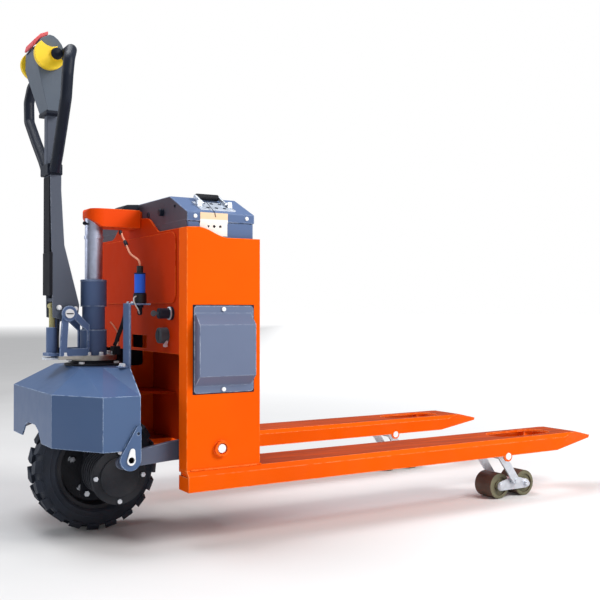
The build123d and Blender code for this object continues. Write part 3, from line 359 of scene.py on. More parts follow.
def label_material():
    """Printed card: a peach band above white."""
    s = Shade("label_card", (0.90, 0.87, 0.81), 0.42)
    s.tint(s.spread(s.axis_value("Z"), *LABEL_BAND_EDGE), (0.84, 0.58, 0.36))
    s.mottle(50, 0.2, (0.72, 0.66, 0.58))
    s.coarsen(s.noise(80, 4), 0.15)
    s.bump(s.noise(500, 3), 0.0002, 0.3)
    return s.done()


blue_sensor = sensor_material()
tread = roller_material()
card = label_material()


# ---------------------------------------------------------------- mesh helpers
WASHER_HEIGHT = 1.6
def aim(centre, axis, turn=0.0):
    """A placement at centre whose own Z points along axis."""
    rotation = Vector(axis).to_track_quat("Z", "Y").to_matrix().to_4x4()
    return Matrix.Translation(centre) @ rotation @ Matrix.Rotation(turn, 4, "Z")


def spin(bm, place, profile, segments=32):
    """Adds the body swept by (radius mm, height mm) pairs around the placement's Z."""
    rings = []
    for radius, height in profile:
        if radius == 0:
            rings.append([bm.verts.new(place @ Vector((0, 0, height * MM)))])
            continue
        turns = [2 * pi * i / segments for i in range(segments)]
        rings.append([
            bm.verts.new(place @ Vector((radius * cos(a) * MM, radius * sin(a) * MM, height * MM)))
            for a in turns
        ])
    for low, high in zip(rings, rings[1:]):
        for i in range(segments):
            j = (i + 1) % segments
            corners = [low[i % len(low)], low[j % len(low)], high[j % len(high)], high[i % len(high)]]
            unique = list(dict.fromkeys(corners))
            if len(unique) > 2:
                bm.faces.new(unique)


def hexagon(bm, place, across, height, washer):
    """Adds a hexagon head with a chamfered top, on a washer of that radius."""
    spin(bm, place, [(0, 0), (washer, 0), (washer + 0.3, 0.4), (washer, WASHER_HEIGHT),
                     (0, WASHER_HEIGHT)], 28)
    radius = across / 2 / cos(pi / 6)
    top = WASHER_HEIGHT + height
    spin(bm, place, [(0, WASHER_HEIGHT), (radius, WASHER_HEIGHT), (radius, WASHER_HEIGHT + height * 0.8),
                     (radius * 0.84, top), (0, top)], 6)


def dome(bm, place, radius, height, slot=False):
    """Adds a rounded screw head, with a raised rim round its recess if slot is set."""
    profile = [(0, 0), (radius, 0), (radius, height * 0.35), (radius * 0.85, height * 0.8)]
    if slot:
        profile += [(radius * 0.55, height), (radius * 0.5, height * 0.35), (0, height * 0.3)]
    else:
        profile += [(radius * 0.5, height), (0, height)]
    spin(bm, place, profile, 24)


def block(bm, low, high):
    """Adds a box between two points."""
    size = high - low
    place = Matrix.Translation((low + high) / 2) @ Matrix.Diagonal((*size, 1.0))
    bmesh.ops.create_cube(bm, size=1.0, matrix=place)


def prism(bm, outline, direction):
    """Adds a closed outline of points pushed along direction."""
    near = [bm.verts.new(p) for p in outline]
    far = [bm.verts.new(p + direction) for p in outline]
    bm.faces.new(near)
    bm.faces.new(list(reversed(far)))
    for i in range(len(near)):
        j = (i + 1) % len(near)
        bm.faces.new([near[i], far[i], far[j], near[j]])


def finish_piece(bm, name, material, body, stands_for=(), bevel=0.0, segments=2, bevel_angle=30):
    """Turns a mesh under construction into a piece that rides on a body."""
    bmesh.ops.recalc_face_normals(bm, faces=bm.faces)
    mesh = bpy.data.meshes.new(name)
    bm.to_mesh(mesh)
    bm.free()
    for face in mesh.polygons:
        face.use_smooth = True
    piece = bpy.data.objects.new(name, mesh)
    bpy.context.scene.collection.objects.link(piece)
    mesh.materials.append(material)
    if bevel:
        edge = piece.modifiers.new("edge", "BEVEL")
        edge.width = bevel * MM
        edge.segments = segments
        edge.limit_method = "ANGLE"
        edge.angle_limit = radians(bevel_angle)
        edge.miter_outer = "MITER_ARC"
        shade = piece.modifiers.new("shade", "WEIGHTED_NORMAL")
        shade.keep_sharp = True
    else:
        mesh.set_sharp_from_angle(angle=radians(32))
    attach(piece, body)
    if stands_for:
        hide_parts(*stands_for)
    return piece


BODY_OF = {node: body for body, nodes in frame["record"]["behaviour"]["bodies"].items() for node in nodes}


def rounded(node, material, width, segments=2, angle=30):
    """Stands a copy with rounded edges in for a sharp-edged node."""
    bm = bmesh.new()
    bm.from_mesh(frame["nodes"][node].data)
    bmesh.ops.remove_doubles(bm, verts=bm.verts, dist=3e-6)
    bmesh.ops.dissolve_limit(bm, angle_limit=radians(0.4), verts=bm.verts, edges=bm.edges)
    finish_piece(bm, f"{node}_shell", material, BODY_OF[node], [node],
                 width, segments, angle)


def paint(node, material):
    """Gives a node that keeps its own shape its material."""
    mesh = frame["nodes"][node].data
    mesh.materials.clear()
    mesh.materials.append(material)


def pair(name):
    """The names of the right and left ones of a kind."""
    return [f"right_{name}", f"left_{name}"]


def hull(circles, steps=20):
    """The convex outline, as (across, up) pairs in mm, around (across, up, radius) circles."""
    points = sorted(
        (u + r * cos(2 * pi * i / steps), v + r * sin(2 * pi * i / steps))
        for u, v, r in circles for i in range(steps)
    )

    def chain(ordered):
        line = []
        for p in ordered:
            while len(line) > 1 and ((line[-1][0] - line[-2][0]) * (p[1] - line[-2][1])
                                     - (line[-1][1] - line[-2][1]) * (p[0] - line[-2][0])) <= 1e-9:
                line.pop()
            line.append(p)
        return line[:-1]

    return chain(points) + chain(points[::-1])


def side_plate(bm, outline, y, thickness):
    """Adds a plate with an outline of (x, z) pairs in mm, from y to y plus thickness."""
    prism(bm, [at(x, y, z) for x, z in outline], Vector((0, thickness * MM, 0)))


def lead_curve(name, points, diameter, steps, sides):
    """A round lead, diameter metres thick and capped at both ends, through points in mm."""
    curve = bpy.data.curves.new(name, "CURVE")
    curve.dimensions = "3D"
    spline = curve.splines.new("NURBS")
    spline.points.add(len(points) - 1)
    for point, place in zip(spline.points, points):
        point.co = (*at(*place), 1.0)
    spline.order_u = 3
    spline.use_endpoint_u = True
    spline.resolution_u = steps
    curve.bevel_depth = diameter / 2
    curve.bevel_resolution = sides
    curve.use_fill_caps = True
    lead = bpy.data.objects.new(name, curve)
    bpy.context.scene.collection.objects.link(lead)
    return lead


def tube(name, points, diameter, material, body):
    """A rigid round pipe or a stiff lead, diameter mm thick, through points in mm."""
    lead = lead_curve(name, points, diameter * MM, 8, 3)
    curve = lead.data
    bpy.context.view_layer.update()
    evaluated = lead.evaluated_get(bpy.context.evaluated_depsgraph_get())
    mesh = bpy.data.meshes.new_from_object(evaluated)
    bpy.data.objects.remove(lead)
    bpy.data.curves.remove(curve)
    bm = bmesh.new()
    bm.from_mesh(mesh)
    bpy.data.meshes.remove(mesh)
    finish_piece(bm, name, material, body)


# ---------------------------------------------------------------- nodes with softer edges or as they are
for node in pair("fork"):
    rounded(node, fork_scuffs_and_shade, 1.6)
for node in pair("side_wall"):
    rounded(node, orange, 1.6)
# The front and rear walls, the tray and the door take the orange darkened as painted shade.
for node in ("front_wall", "rear_wall", "battery_tray"):
    rounded(node, shaded_orange, 1.2)
rounded("front_door", shaded_orange, 1.1)
rounded("head_arm", arm_orange, 3.0, 3)
rounded("drive_hood", hood_slate, 2.2, 3, 4)
for node in pair("side_cover"):
    rounded(node, cover_slate, 2.0, 3)
rounded("battery_lid", slate, 2.2, 3, 12)
rounded("battery_case", slate, 1.5)
for node in pair("link_arm"):
    rounded(node, link_slate, 1.2)
for node in ("sensor_bracket", "tiller_brackets", "pump_block", "lift_cylinder"):
    rounded(node, slate, 1.2)
rounded("release_pedal", zinc, 0.8)
rounded("tiller_arm", charcoal, 1.6)
rounded("steering_plate", steel, 0.8)
rounded("wheel_carrier", black_metal, 1.4)
rounded("control_head", head_plastic, 7.0, 4, 24)
rounded("handle_loops", black_plastic, 1.0)
rounded("throttle_butterfly", yellow, 4.0, 4)
rounded("reverse_button", red, 2.5, 3, 24)
rounded("drive_motor", cast, 1.2)
rounded("drive_rim", cast, 1.5)
rounded("turntable_ring", cast, 0.8)
for node in pair("load_arm") + pair("bogie"):
    rounded(node, zinc, 0.7)

for node in ["linkage_pins", "hood_fasteners", "cover_screws", "tiller_pin"]:
    paint(node, white_paint)
paint("handle_plates", plate_zinc)
for node in ["steer_bolts", "wheel_axle"] + pair("push_rod"):
    paint(node, zinc)
for node in pair("front_roller") + pair("rear_roller"):
    paint(node, tread)
paint("lift_ram", chrome)
paint("pump_piston", gaiter)
paint("motor_controller", heat_sink)
paint("charge_socket", socket_grey)
paint("key_switch", black_plastic)
paint("ignition_key", socket_grey)
paint("battery_lock_knob", black_plastic)
paint("lift_sensor", blue_sensor)


# ---------------------------------------------------------------- drive wheel
# The carcass's wall as (mm below the tread, mm in from the side face), from the bead outwards.
SIDEWALL = [(53, 6.5), (50, 3.0), (46, 1.0), (43, 2.4), (37, 2.0), (34, 0.6), (31, 2.0), (22, 2.2),
            (14, 4.5), (11, 9), (10, 18)]
LUGS = 20
LUG_LEAN = radians(5.0)
LUG_HALF_TURN = radians(5.4)
LUG_HALF_TURN_AT_CROWN = radians(3.8)
WHEEL_NUTS = 5
NUT_CIRCLE = 0.062


def drive_tyre():
    """A lugged solid tyre: a ribbed carcass with slanted blocks that wrap over both shoulders."""
    low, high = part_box("drive_tyre")
    outer = (high.z - low.z) / 2 / MM
    half = (high.y - low.y) / 2 / MM
    place = aim((low + high) / 2, (0, 1, 0))
    bm = bmesh.new()
    wall = [(outer - depth, half - inset) for depth, inset in SIDEWALL]
    profile = wall + [(outer - 9.5, 0)] + [(r, -h) for r, h in reversed(wall)] + [wall[0]]
    spin(bm, place, profile, 120)
    # One lug's sections as (across from the centre, top radius, root radius).
    sections = [(3, outer - 0.6, outer - 11), (18, outer - 0.2, outer - 11),
                (half - 10, outer, outer - 12), (half - 4, outer - 5, outer - 15),
                (half, outer - 11, outer - 17), (half - 0.2, outer - 16, outer - 17)]
    for sign in (-1, 1):
        for lug in range(LUGS):
            middle = 2 * pi * (lug + (0.5 if sign > 0 else 0.0)) / LUGS
            columns = []
            for across, top, root in sections:
                lean = LUG_LEAN * min(across / (half - 10), 1.0)
                spread = LUG_HALF_TURN if across > 10 else LUG_HALF_TURN_AT_CROWN
                root = min(root, top - 0.5)
                inward = 4.0 if across > half - 5 else 0.0
                ring = []
                for turn, radius, move in ((-spread, root, inward), (-spread, top, 0),
                                           (spread, top, 0), (spread, root, inward)):
                    a = middle + lean + turn
                    ring.append(bm.verts.new(place @ Vector((
                        radius * cos(a) * MM, radius * sin(a) * MM, sign * (across - move) * MM))))
                columns.append(ring)
            for one, two in zip(columns, columns[1:]):
                for i in range(4):
                    j = (i + 1) % 4
                    bm.faces.new([one[i], one[j], two[j], two[i]])
            bm.faces.new(columns[0])
            bm.faces.new(list(reversed(columns[-1])))
    finish_piece(bm, "drive_tyre_lugs", tyre_rubber, "drive_wheel", ["drive_tyre"], 1.3)


def wheel_nuts():
    """The nuts on both faces of the drive wheel's disc."""
    low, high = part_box("drive_rim")
    hub = (low + high) / 2
    bm = bmesh.new()
    for sign, seat in ((-1, -0.010), (1, 0.002)):
        for i in range(WHEEL_NUTS):
            a = 2 * pi * i / WHEEL_NUTS + 0.3
            foot = hub + Vector((NUT_CIRCLE * cos(a), seat, NUT_CIRCLE * sin(a)))
            hexagon(bm, aim(foot, (0, sign, 0)), 14, 7, 9.5)
    finish_piece(bm, "wheel_nuts", zinc, "drive_wheel", bevel=0.5)


drive_tyre()
wheel_nuts()


# ---------------------------------------------------------------- battery lid furniture
LID_EDGE_Z, LID_TOP_Z = 778.0, 824.0
LID_HALF, LID_FLAT_HALF, CASE_HALF = 320.0, 218.0, 317.0
LID_SLOPE = (LID_TOP_Z - LID_EDGE_Z) / (LID_HALF - LID_FLAT_HALF)
# The handle plates' thickness, measured straight up from the slope.
LID_PLATE = 3.1 / 0.91
LID_FACE_X = 114.2
GRIP_RIBS = 13
GRIP_RIB_PITCH = 4.4


def lid_height(y):
    """Height in mm of the lid's slope at y mm from the centre plane."""
    return LID_EDGE_Z + (LID_HALF - abs(y)) * LID_SLOPE


def battery_label():
    """A card on the lid's right edge that hangs down over the case, with three plain marks."""
    lid_y, case_y = -LID_HALF - 0.4, -CASE_HALF - 0.6
    path = [(lid_y, LID_EDGE_Z), (lid_y, 757.0), (case_y, 751.0), (case_y, 724.0)]
    outline = [at(147.5, y, z) for y, z in path] + [at(147.5, y - 0.6, z) for y, z in reversed(path)]
    bm = bmesh.new()
    prism(bm, outline, Vector((71.5 * MM, 0, 0)))
    finish_piece(bm, "battery_label", card, "battery_pack")
    bm = bmesh.new()
    ring = [(0, -0.6), (3.8, -0.6), (3.8, 0.2), (1.8, 0.2), (1.6, -0.2), (0, -0.2)]
    for x, points in ((170, 3), (184.6, 5), (200.5, 4)):
        spin(bm, aim(at(x, -CASE_HALF - 1.4, 746.5), (0, -1, 0), x), ring, points)
    finish_piece(bm, "label_marks", black_plastic, "battery_pack")


def lid_details():
    """Bolts along the lid's long edges, a near-black front panel that is painted shade, and the slope
    plates' holes drawn as black discs of painted shade.
    """
    bm = bmesh.new()
    for sign in (-1, 1):
        for x in (135, 270):
            dome(bm, aim(at(x, sign * LID_HALF, 768.5), (0, sign, 0)), 4.9, 2.6)
    finish_piece(bm, "lid_bolts", white_paint, "battery_pack")
    # A near-black panel over the lid's front face: painted shade.
    bm = bmesh.new()
    upper = [(-318.5, 760), (-318.5, 777.3), (-217, 822.3), (217, 822.3), (318.5, 777.3), (318.5, 760)]
    lower = [(-315, 700), (-315, 760.5), (315, 760.5), (315, 700)]
    for outline, x, thickness in ((upper, 114.9, 0.8), (lower, 115.8, 1.4)):
        prism(bm, [at(x, y, z) for y, z in outline], Vector((-thickness * MM, 0, 0)))
    finish_piece(bm, "lid_front_shade_panel", front_shade_panel, "battery_pack", bevel=0.3)
    bm = bmesh.new()
    button = [(0, 0), (9, 0), (9, 1.2), (6.5, 1.6), (6, 0.4), (0, 0.4)]
    spin(bm, aim(at(LID_FACE_X, -83, 789), (-1, 0, 0)), button, 24)
    for y in (-251, 251):
        dome(bm, aim(at(LID_FACE_X, y, 797), (-1, 0, 0)), 4.0, 2.2, True)
    finish_piece(bm, "lid_front_fittings", black_plastic, "battery_pack")
    # Black discs stand for the slope plates' holes: painted shade in place of their recesses.
    bm = bmesh.new()
    hole = [(0, -0.3), (4.4, -0.3), (4.4, 0.3), (0, 0.3)]
    for sign in (-1, 1):
        for x in (180, 202, 224):
            for y in (266, 294):
                foot = at(x, sign * y, lid_height(y) + LID_PLATE)
                spin(bm, aim(foot, (0, sign * LID_SLOPE, 1)), hole, 20)
    finish_piece(bm, "slope_plate_holes", black_plastic, "battery_pack")


def battery_handle(side, sign):
    """A folding handle: two bright straps with rolled eyes and a ribbed black grip."""
    hinge_y, grip_y, hinge_z, grip_z = 281.0, 241.0, 804.588, 824.0
    body = f"{side}_battery_handle"
    bm = bmesh.new()
    strap = [(sign * u, v) for u, v in hull([(hinge_y, hinge_z, 3.8), (grip_y, grip_z, 5.0)])]
    for x in (168.6, 230.6):
        prism(bm, [at(x, y, z) for y, z in strap], Vector((4.6 * MM, 0, 0)))
    for x in (156, 231):
        spin(bm, aim(at(x, sign * hinge_y, hinge_z), (1, 0, 0)), [(0, 0), (3.9, 0), (3.9, 17), (0, 17)], 24)
    finish_piece(bm, f"{body}_frame", zinc, body, [body], 0.6)
    bm = bmesh.new()
    profile = [(0, 0), (6.4, 0), (7.2, 1.0)]
    for i in range(GRIP_RIBS):
        start = 2.0 + GRIP_RIB_PITCH * i
        profile += [(7.9, start), (7.9, start + 3.0), (7.2, start + 3.6), (7.2, start + 4.2)]
    profile += [(7.2, 58.4), (6.4, 59.2), (0, 59.2)]
    spin(bm, aim(at(172.4, sign * grip_y, grip_z), (1, 0, 0)), profile, 32)
    finish_piece(bm, f"{body}_grip", rubber, body, [body])


battery_label()
lid_details()
battery_handle("right", -1)
battery_handle("left", 1)
tube("label_strap",
     [(180, -286, 806.5), (182, -303, 793), (184, -319, 781.5), (185, -321.6, 776), (187, -321.8, 768)],
     1.6, black_plastic, "battery_pack")


# ---------------------------------------------------------------- chassis details
SOCKET_X, SOCKET_Y, SOCKET_Z = 91, -213, 489
SOCKET_RIBS = 6
SOCKET_RIB_CIRCLE = 16.4
WALL_FACE_Y = 332.6
WELD_Z = 181.2
COVER_SHADOW_RIM = 2.2 * MM


def chassis_details():
    """The head arm's cap and nipple, the socket's cap, the key's ring, welds, and black rims round the side
    covers that are painted shadow in their gaps.
    """
    bm = bmesh.new()
    side_plate(bm, [(60, 806), (69, 816), (76, 819), (107, 821), (107, 806)], -38, 76)
    finish_piece(bm, "arm_cap", black_plastic, "chassis", bevel=1.5)
    bm = bmesh.new()
    nipple = [(0, 0), (2.6, 0), (2.6, 15), (4.4, 16.5), (5.2, 19.5), (4.4, 22.5), (0, 24)]
    spin(bm, aim(at(-12, -6, 766), (-0.85, -0.5, 0.12)), nipple, 20)
    finish_piece(bm, "arm_nipple", black_plastic, "chassis")
    bm = bmesh.new()
    cap = [(0, 0), (17.6, 0), (17.6, 2.4), (15.4, 4.2), (13.8, 4.2), (13.2, 2.6), (0, 2.2)]
    spin(bm, aim(at(SOCKET_X, SOCKET_Y, SOCKET_Z), (-1, 0, 0)), cap, 40)
    for turn in range(SOCKET_RIBS):
        a = turn * pi / 3
        y = SOCKET_Y + SOCKET_RIB_CIRCLE * cos(a)
        z = SOCKET_Z + SOCKET_RIB_CIRCLE * sin(a)
        block(bm, at(87.5, y - 2, z - 2), at(SOCKET_X, y + 2, z + 2))
    block(bm, at(86.6, -215, 478), at(88.8, -211, 500))
    finish_piece(bm, "socket_cap", socket_grey, "chassis", bevel=0.5)
    bm = bmesh.new()
    side_plate(bm, hull([(100, 466, 5), (104, 474, 3)]), -228, 1.6)
    block(bm, at(96, -232, 462), at(104, -224, 466))
    key_ring = [(12.1, 0), (15.4, 0), (15.4, 2.2), (13.0, 3.0), (12.1, 3.0), (12.1, 0)]
    spin(bm, aim(at(103, -245, 542), (-1, 0, 0)), key_ring, 32)
    finish_piece(bm, "front_brightwork", zinc, "chassis")
    bm = bmesh.new()
    side_bead = [(0, 0), (1.9, 0.8), (2.5, 3), (2.2, 5.4), (0, 7.2)]
    rear_bead = [(0, 0), (2.0, 1), (2.6, 4), (2.1, 7), (0, 9)]
    for sign in (-1, 1):
        x = 118
        while x < 298:
            spin(bm, aim(at(x, sign * WALL_FACE_Y, WELD_Z), (1, 0.05, 0)), side_bead, 10)
            x += 5.6
        for y in range(190, 318, 7):
            spin(bm, aim(at(301, sign * y, WELD_Z), (0, 1, 0.04)), rear_bead, 10)
    finish_piece(bm, "weld_beads", orange, "chassis")
    # Black rims just outside each side cover: painted shadow in the gap round it.
    bm = bmesh.new()
    for node, sign in (("right_side_cover", -1), ("left_side_cover", 1)):
        low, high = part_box(node)
        near, far = sorted((sign * 331.4 * MM, sign * WALL_FACE_Y * MM))
        block(bm, Vector((low.x - COVER_SHADOW_RIM, near, low.z - COVER_SHADOW_RIM)),
              Vector((high.x + COVER_SHADOW_RIM, far, high.z + COVER_SHADOW_RIM)))
    finish_piece(bm, "cover_shadow_rims", black_plastic, "chassis", bevel=0.4)


chassis_details()


# ---------------------------------------------------------------- running gear nuts
ROLLER_X, ROLLER_Z = 1216, 37
FORK_Y = 262.5


def axle_nuts(side, sign):
    """The nuts at both ends of a front roller's axle."""
    bm = bmesh.new()
    for face in (-1, 1):
        foot = at(ROLLER_X, sign * FORK_Y + face * 44, ROLLER_Z)
        hexagon(bm, aim(foot, (0, face, 0)), 14, 3.5, 9)
    finish_piece(bm, f"{side}_axle_nuts", zinc, f"{side}_bogie", bevel=0.4)


axle_nuts("right", -1)
axle_nuts("left", 1)


# ---------------------------------------------------------------- drive base details
SENSOR_X, SENSOR_Y = 62, -160


def drive_base_details():
    """Keepers on the hood's lugs, the sensor bracket's screws, and the sensor's gland, rings and lead."""
    bm = bmesh.new()
    for y in (-312.0, 308.0):
        side_plate(bm, hull([(-16, 212, 10), (-13, 234, 6)]), y, 4.0)
    finish_piece(bm, "lug_keepers", white_paint, "drive_base", bevel=0.8)
    bm = bmesh.new()
    for x, y in ((18, -168), (18, -152)):
        hexagon(bm, aim(at(x, y, 415), (0, 0, 1)), 9, 5, 6.5)
    for x, y in ((37, -174), (37, -146)):
        hexagon(bm, aim(at(x, y, 566), (0, 0, 1)), 6, 3, 4.4)
    finish_piece(bm, "bracket_screws", zinc, "drive_base", bevel=0.3)
    bm = bmesh.new()
    gland = [(0, 0), (9, 0), (9, 6), (6, 7), (6, 20), (4.5, 24), (0, 25)]
    spin(bm, aim(at(SENSOR_X, SENSOR_Y, 562), (0, 0, -1)), gland, 24)
    finish_piece(bm, "sensor_gland", black_plastic, "drive_base")
    bm = bmesh.new()
    low_ring = [(13.4, 0), (15.2, 0), (15.2, 2.4), (13.4, 3.2), (13.4, 0)]
    cap_ring = [(13.4, 0), (14.2, 0.6), (14.2, 2.6), (12, 3.4), (8, 3.4), (8, 0)]
    for z, ring in ((588.2, low_ring), (637, cap_ring)):
        spin(bm, aim(at(SENSOR_X, SENSOR_Y, z), (0, 0, 1)), ring, 32)
    finish_piece(bm, "sensor_rings", black_plastic, "drive_base")
    tube("sensor_lead",
         [(49, -169, 583), (41, -176, 582), (38, -180, 572), (43, -182.5, 560), (51, -182.5, 548),
          (58, -166, 541)],
         3.0, grey_jacket, "drive_base")


drive_base_details()


# ---------------------------------------------------------------- steering unit details
PLATE_TOP_Z = 436.0
ROD_X, ROD_Y = -97, -21.3


def steering_details():
    """Collars and slots of the tiller's pin, the release rod, the pump's hose and pipe, rings and bolts."""
    bm = bmesh.new()
    collar = [(11.2, 0), (18.5, 0), (19.5, 1.0), (19.5, 2.8), (18.5, 3.6), (11.2, 3.6), (11.2, 0)]
    for sign in (-1, 1):
        spin(bm, aim(at(-75, sign * 41.1, 541), (0, sign, 0)), collar, 40)
    finish_piece(bm, "pin_collars", slate, "steering_unit")
    # Dark bars stand for the slots in the pin's ends: painted shade in the recesses.
    bm = bmesh.new()
    for sign in (-1, 1):
        block(bm, at(-83.5, sign * 48.4 - 0.5, 539.6), at(-66.5, sign * 48.4 + 0.5, 542.4))
    finish_piece(bm, "pin_slots", socket_grey, "steering_unit")
    tube("release_rod", [(ROD_X, ROD_Y, z) for z in (437, 470, 500, 538)],
         5.0, black_metal, "steering_unit")
    bm = bmesh.new()
    block(bm, at(42, -32, PLATE_TOP_Z), at(60, -6, 458))
    union = [(0, 0), (7, 0), (7, 8), (5.5, 10), (5.5, 18), (0, 19)]
    spin(bm, aim(at(51, -19, 458), (0.3, -0.2, 1)), union, 20)
    finish_piece(bm, "hose_block", black_metal, "steering_unit", bevel=1.2)
    tube("pump_hose", [(74, -30, 548), (72, -30, 532), (64, -27, 504), (54, -25, 480), (52, -22, 462)],
         11.0, rubber, "steering_unit")
    tube("pump_pipe", [(36, -22, 520), (46, -26, 508), (58, -24, 488), (56, -26, 466), (50, -30, 452)],
         4.0, cable, "steering_unit")
    bm = bmesh.new()
    middle_ring = [(28.6, 0), (32.9, 0), (33.2, 0.8), (33.2, 1.6), (28.6, 1.6), (28.6, 0)]
    top_ring = [(32.6, 0), (33.3, 0.5), (33.3, 3.0), (31, 5.0), (23, 5.4), (23, 0)]
    foot_ring = [(28.6, 0), (33, 0), (33, 1.2), (28.6, 2.4), (28.6, 0)]
    for z, ring in ((558.6, middle_ring), (622, top_ring), (499, foot_ring)):
        spin(bm, aim(at(0, 0, z), (0, 0, 1)), ring, 48)
    finish_piece(bm, "cylinder_rings", slate, "steering_unit")
    bm = bmesh.new()
    for x, y in ((45, -17), (45, 17), (4, -48), (4, 48), (-84, -37), (-84, 37), (-24, -37), (-24, 37)):
        hexagon(bm, aim(at(x, y, PLATE_TOP_Z), (0, 0, 1)), 10, 7.5, 7)
    finish_piece(bm, "plate_bolts", white_paint, "steering_unit", bevel=0.4)


steering_details()


# ---------------------------------------------------------------- tiller and its head
CHEEK_Y = 29.0
TILLER_FRONT_X = -121


def tiller_box(name, low, high, material, bevel, segments=2):
    """A block with rounded edges that rides on the tiller."""
    bm = bmesh.new()
    block(bm, at(*low), at(*high))
    finish_piece(bm, name, material, "tiller", bevel=bevel, segments=segments)


def tiller_details():
    """Bolts, black plates on the column's front that are painted shade, the loops' clamp, the head's collar
    and ribs, and the hubs.
    """
    bm = bmesh.new()
    for sign in (-1, 1):
        dome(bm, aim(at(-97, sign * CHEEK_Y, 556), (0, sign, 0)), 6.5, 7.0)
        dome(bm, aim(at(-56, sign * CHEEK_Y, 553), (0, sign, 0)), 6.0, 6.0)
    finish_piece(bm, "cheek_bolts", white_paint, "tiller")
    # Black plates on the tiller's front face: painted shade where it faces away from the lamps.
    tiller_box("tiller_front_shade_plate", (TILLER_FRONT_X, -30.5, 586), (-113, 30.5, 692),
               black_metal, 1.5)
    tiller_box("tiller_inner_shade_strip", (TILLER_FRONT_X, -24.8, 692), (-117.5, 24.8, 879),
               black_metal, 0.8)
    tiller_box("head_collar", (-131, -35.5, 1030), (-97.5, 35.5, 1040),
               black_plastic, 2.5, 3)
    tiller_box("loop_clamp", (-127.5, -32.5, 882), (-89.5, 32.5, 909.5),
               black_plastic, 3.0, 3)
    bm = bmesh.new()
    for sign in (-1, 1):
        for x in (-121, -111):
            foot_y, top_y = sign * 36.0, sign * 49.6
            rib = [at(x - 1.1, foot_y, 1050), at(x + 1.1, foot_y, 1050),
                   at(x + 2.0, top_y, 1122), at(x - 2.0, top_y, 1122)]
            prism(bm, rib, Vector((0, sign * 1.2 * MM, 0)))
    finish_piece(bm, "head_ribs", head_plastic, "tiller", bevel=0.5)
    bm = bmesh.new()
    hub = [(0, 0), (14.6, 0), (14.6, 14.5), (13.8, 17.5), (10.5, 19.4), (0, 20.0)]
    for sign in (-1, 1):
        spin(bm, aim(at(-116.5, sign * 58.0, 1169), (0, sign, 0)), hub, 40)
    finish_piece(bm, "throttle_hubs", black_plastic, "throttle")


tiller_details()


# ---------------------------------------------------------------- lift sensor cord
WIRE_POINTS = [
    (62, -160, 657),
    (62, -160, 668),
    (57, -146, 677),
    (49, -128, 687),
    (47.5, -112, 705),
    (48, -93, 722),
    (48, -75, 735),
    (52, -57, 748),
]
WIRE_DIAMETER = 0.005


def sensor_cord():
    """The cord from the sensor's top up to its plug beside the head arm."""
    cord = lead_curve("sensor_cord", WIRE_POINTS, WIRE_DIAMETER, 12, 4)
    cord.data.materials.append(cable)
    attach(cord, "drive_base")
    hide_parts("sensor_wire")
    return cord


def cord_fitting(name, foot, along, profile):
    """A black plug or sleeve on the cord."""
    bm = bmesh.new()
    spin(bm, aim(at(*foot), along), profile, 20)
    return finish_piece(bm, name, black_plastic, "drive_base")


cord = sensor_cord()
plug = cord_fitting("sensor_plug", (48, -66, 741), (0.14, 0.8, 0.6),
                    [(0, 0), (3.4, 0), (4.2, 2), (4.2, 12), (3.2, 14), (0, 14)])
sleeve = cord_fitting("sensor_sleeve", (47.6, -107, 709.5), (0.02, 0.745, 0.667),
                      [(0, 0), (4.0, 0), (4.8, 2), (4.8, 15), (4.0, 17), (0, 17)])

# ---------------------------------------------------------------- floor, light and camera
FLOOR_REACH = 60.0
FLOOR_GAP = 0.0002
# The floor's level direction along which its shade falls off, as (share of X, share of Y).
SHADE_ALONG = (0.8526, -0.5225)


def floor_material():
    """Pale floor with painted light and shadow: it glows towards white away from the object, a little less
    on one side, and is greyer on that side.
    """
    s = Shade("studio_floor", (0.56, 0.55, 0.545), 0.9, gloss=0.1)
    along_x = s.axis_value("X")
    along_y = s.axis_value("Y")
    across = s.math("ADD", s.math("MULTIPLY", along_x, SHADE_ALONG[0]),
                    s.math("MULTIPLY", along_y, SHADE_ALONG[1]))
    lit = s.spread(across, -1.1, 0.9)
    s.tint(lit, (0.80, 0.80, 0.80))
    s.mottle(3, 0.1, (0.80, 0.795, 0.79))
    s.bump(s.noise(200, 3), 0.0002, 0.2)
    s.shader.inputs["Emission Color"].default_value = (1, 1, 1, 1)
    reach = s.add("ShaderNodeVectorMath", operation="LENGTH")
    s.join(s.coords, reach.inputs[0])
    distance = reach.outputs["Value"]
    shaded = s.math("MAXIMUM", s.spread(across, -2.0, -0.4, 0.32, 1.0),
                    s.spread(distance, 8.0, 30.0, 0.0, 1.0))
    glow = s.math("MULTIPLY", s.spread(distance, 0.9, 4.5, 0.02, 0.84), shaded)
    s.join(glow, s.shader.inputs["Emission Strength"])
    return s.done()


def studio_floor():
    mesh = bpy.data.meshes.new("floor")
    bm = bmesh.new()
    bmesh.ops.create_grid(bm, x_segments=1, y_segments=1, size=FLOOR_REACH)
    bm.to_mesh(mesh)
    bm.free()
    floor = bpy.data.objects.new("floor", mesh)
    floor.location = (0, 0, cad_low.z - FLOOR_GAP)
    bpy.context.scene.collection.objects.link(floor)
    mesh.materials.append(floor_material())


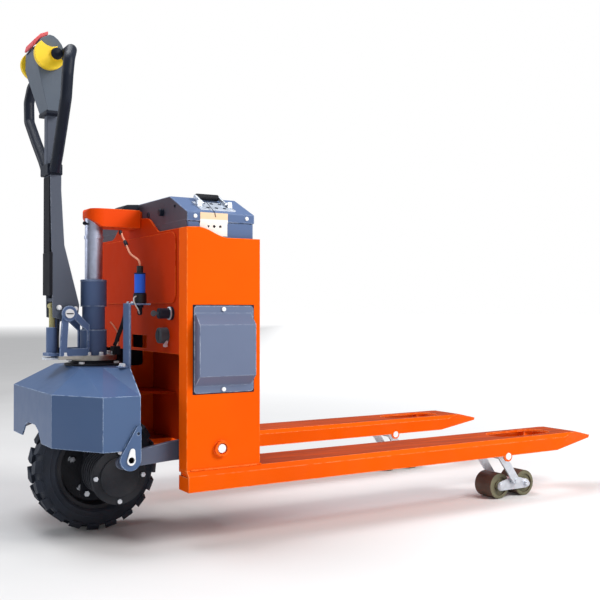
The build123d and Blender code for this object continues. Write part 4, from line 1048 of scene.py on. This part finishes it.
def studio_world():
    """A dim, slightly blue surround for the light, and white where the camera sees past the floor."""
    world = bpy.data.worlds.new("studio")
    bpy.context.scene.world = world
    world.use_nodes = True
    sky = world.node_tree
    backdrop = sky.nodes["Background"]
    backdrop.inputs["Color"].default_value = (1, 1, 1, 1)
    backdrop.inputs["Strength"].default_value = 1.0
    ambient = sky.nodes.new("ShaderNodeBackground")
    ambient.inputs["Color"].default_value = (0.92, 0.95, 1.0, 1)
    ambient.inputs["Strength"].default_value = 0.36
    ray = sky.nodes.new("ShaderNodeLightPath")
    chooser = sky.nodes.new("ShaderNodeMixShader")
    sky.links.new(ray.outputs["Is Camera Ray"], chooser.inputs[0])
    sky.links.new(ambient.outputs[0], chooser.inputs[1])
    sky.links.new(backdrop.outputs[0], chooser.inputs[2])
    sky.links.new(chooser.outputs[0], sky.nodes["World Output"].inputs["Surface"])


def softbox(name, place, target, size, power, colour):
    """A rectangular lamp of size (width, height) in metres and power in watts, aimed at target."""
    lamp = bpy.data.lights.new(name, "AREA")
    lamp.shape = "RECTANGLE"
    lamp.size, lamp.size_y = size
    lamp.energy = power
    lamp.color = colour
    holder = bpy.data.objects.new(name, lamp)
    holder.location = place
    holder.rotation_euler = (Vector(target) - Vector(place)).to_track_quat("-Z", "Y").to_euler()
    bpy.context.scene.collection.objects.link(holder)


def studio_camera():
    """The camera at the photograph's viewing angle."""
    lens = bpy.data.cameras.new("camera")
    lens.sensor_width = 36.0
    lens.lens = 53.4
    lens.clip_end = 200.0
    camera = bpy.data.objects.new("camera", lens)
    camera.location = at(-735.6, -2205.8, 551.6)
    camera.rotation_euler = (radians(90.6), 0, radians(-31.5))
    bpy.context.scene.collection.objects.link(camera)
    bpy.context.scene.camera = camera


studio_floor()
studio_world()
softbox("key_light", (1.5, -3.1, 2.9), (-0.2, 0, 0.4), (2.0, 1.6), 158, (1.0, 0.985, 0.96))
softbox("side_light", (-3.2, 1.9, 1.7), (-0.6, 0, 0.4), (1.4, 1.6), 36, (0.93, 0.96, 1.0))
softbox("top_light", (-1.05, 0.4, 3.3), (-0.7, 0, 0.2), (1.8, 1.8), 80, (0.94, 0.97, 1.0))
studio_camera()
bpy.context.scene.view_settings.view_transform = "Standard"
bpy.context.scene.view_settings.look = "None"
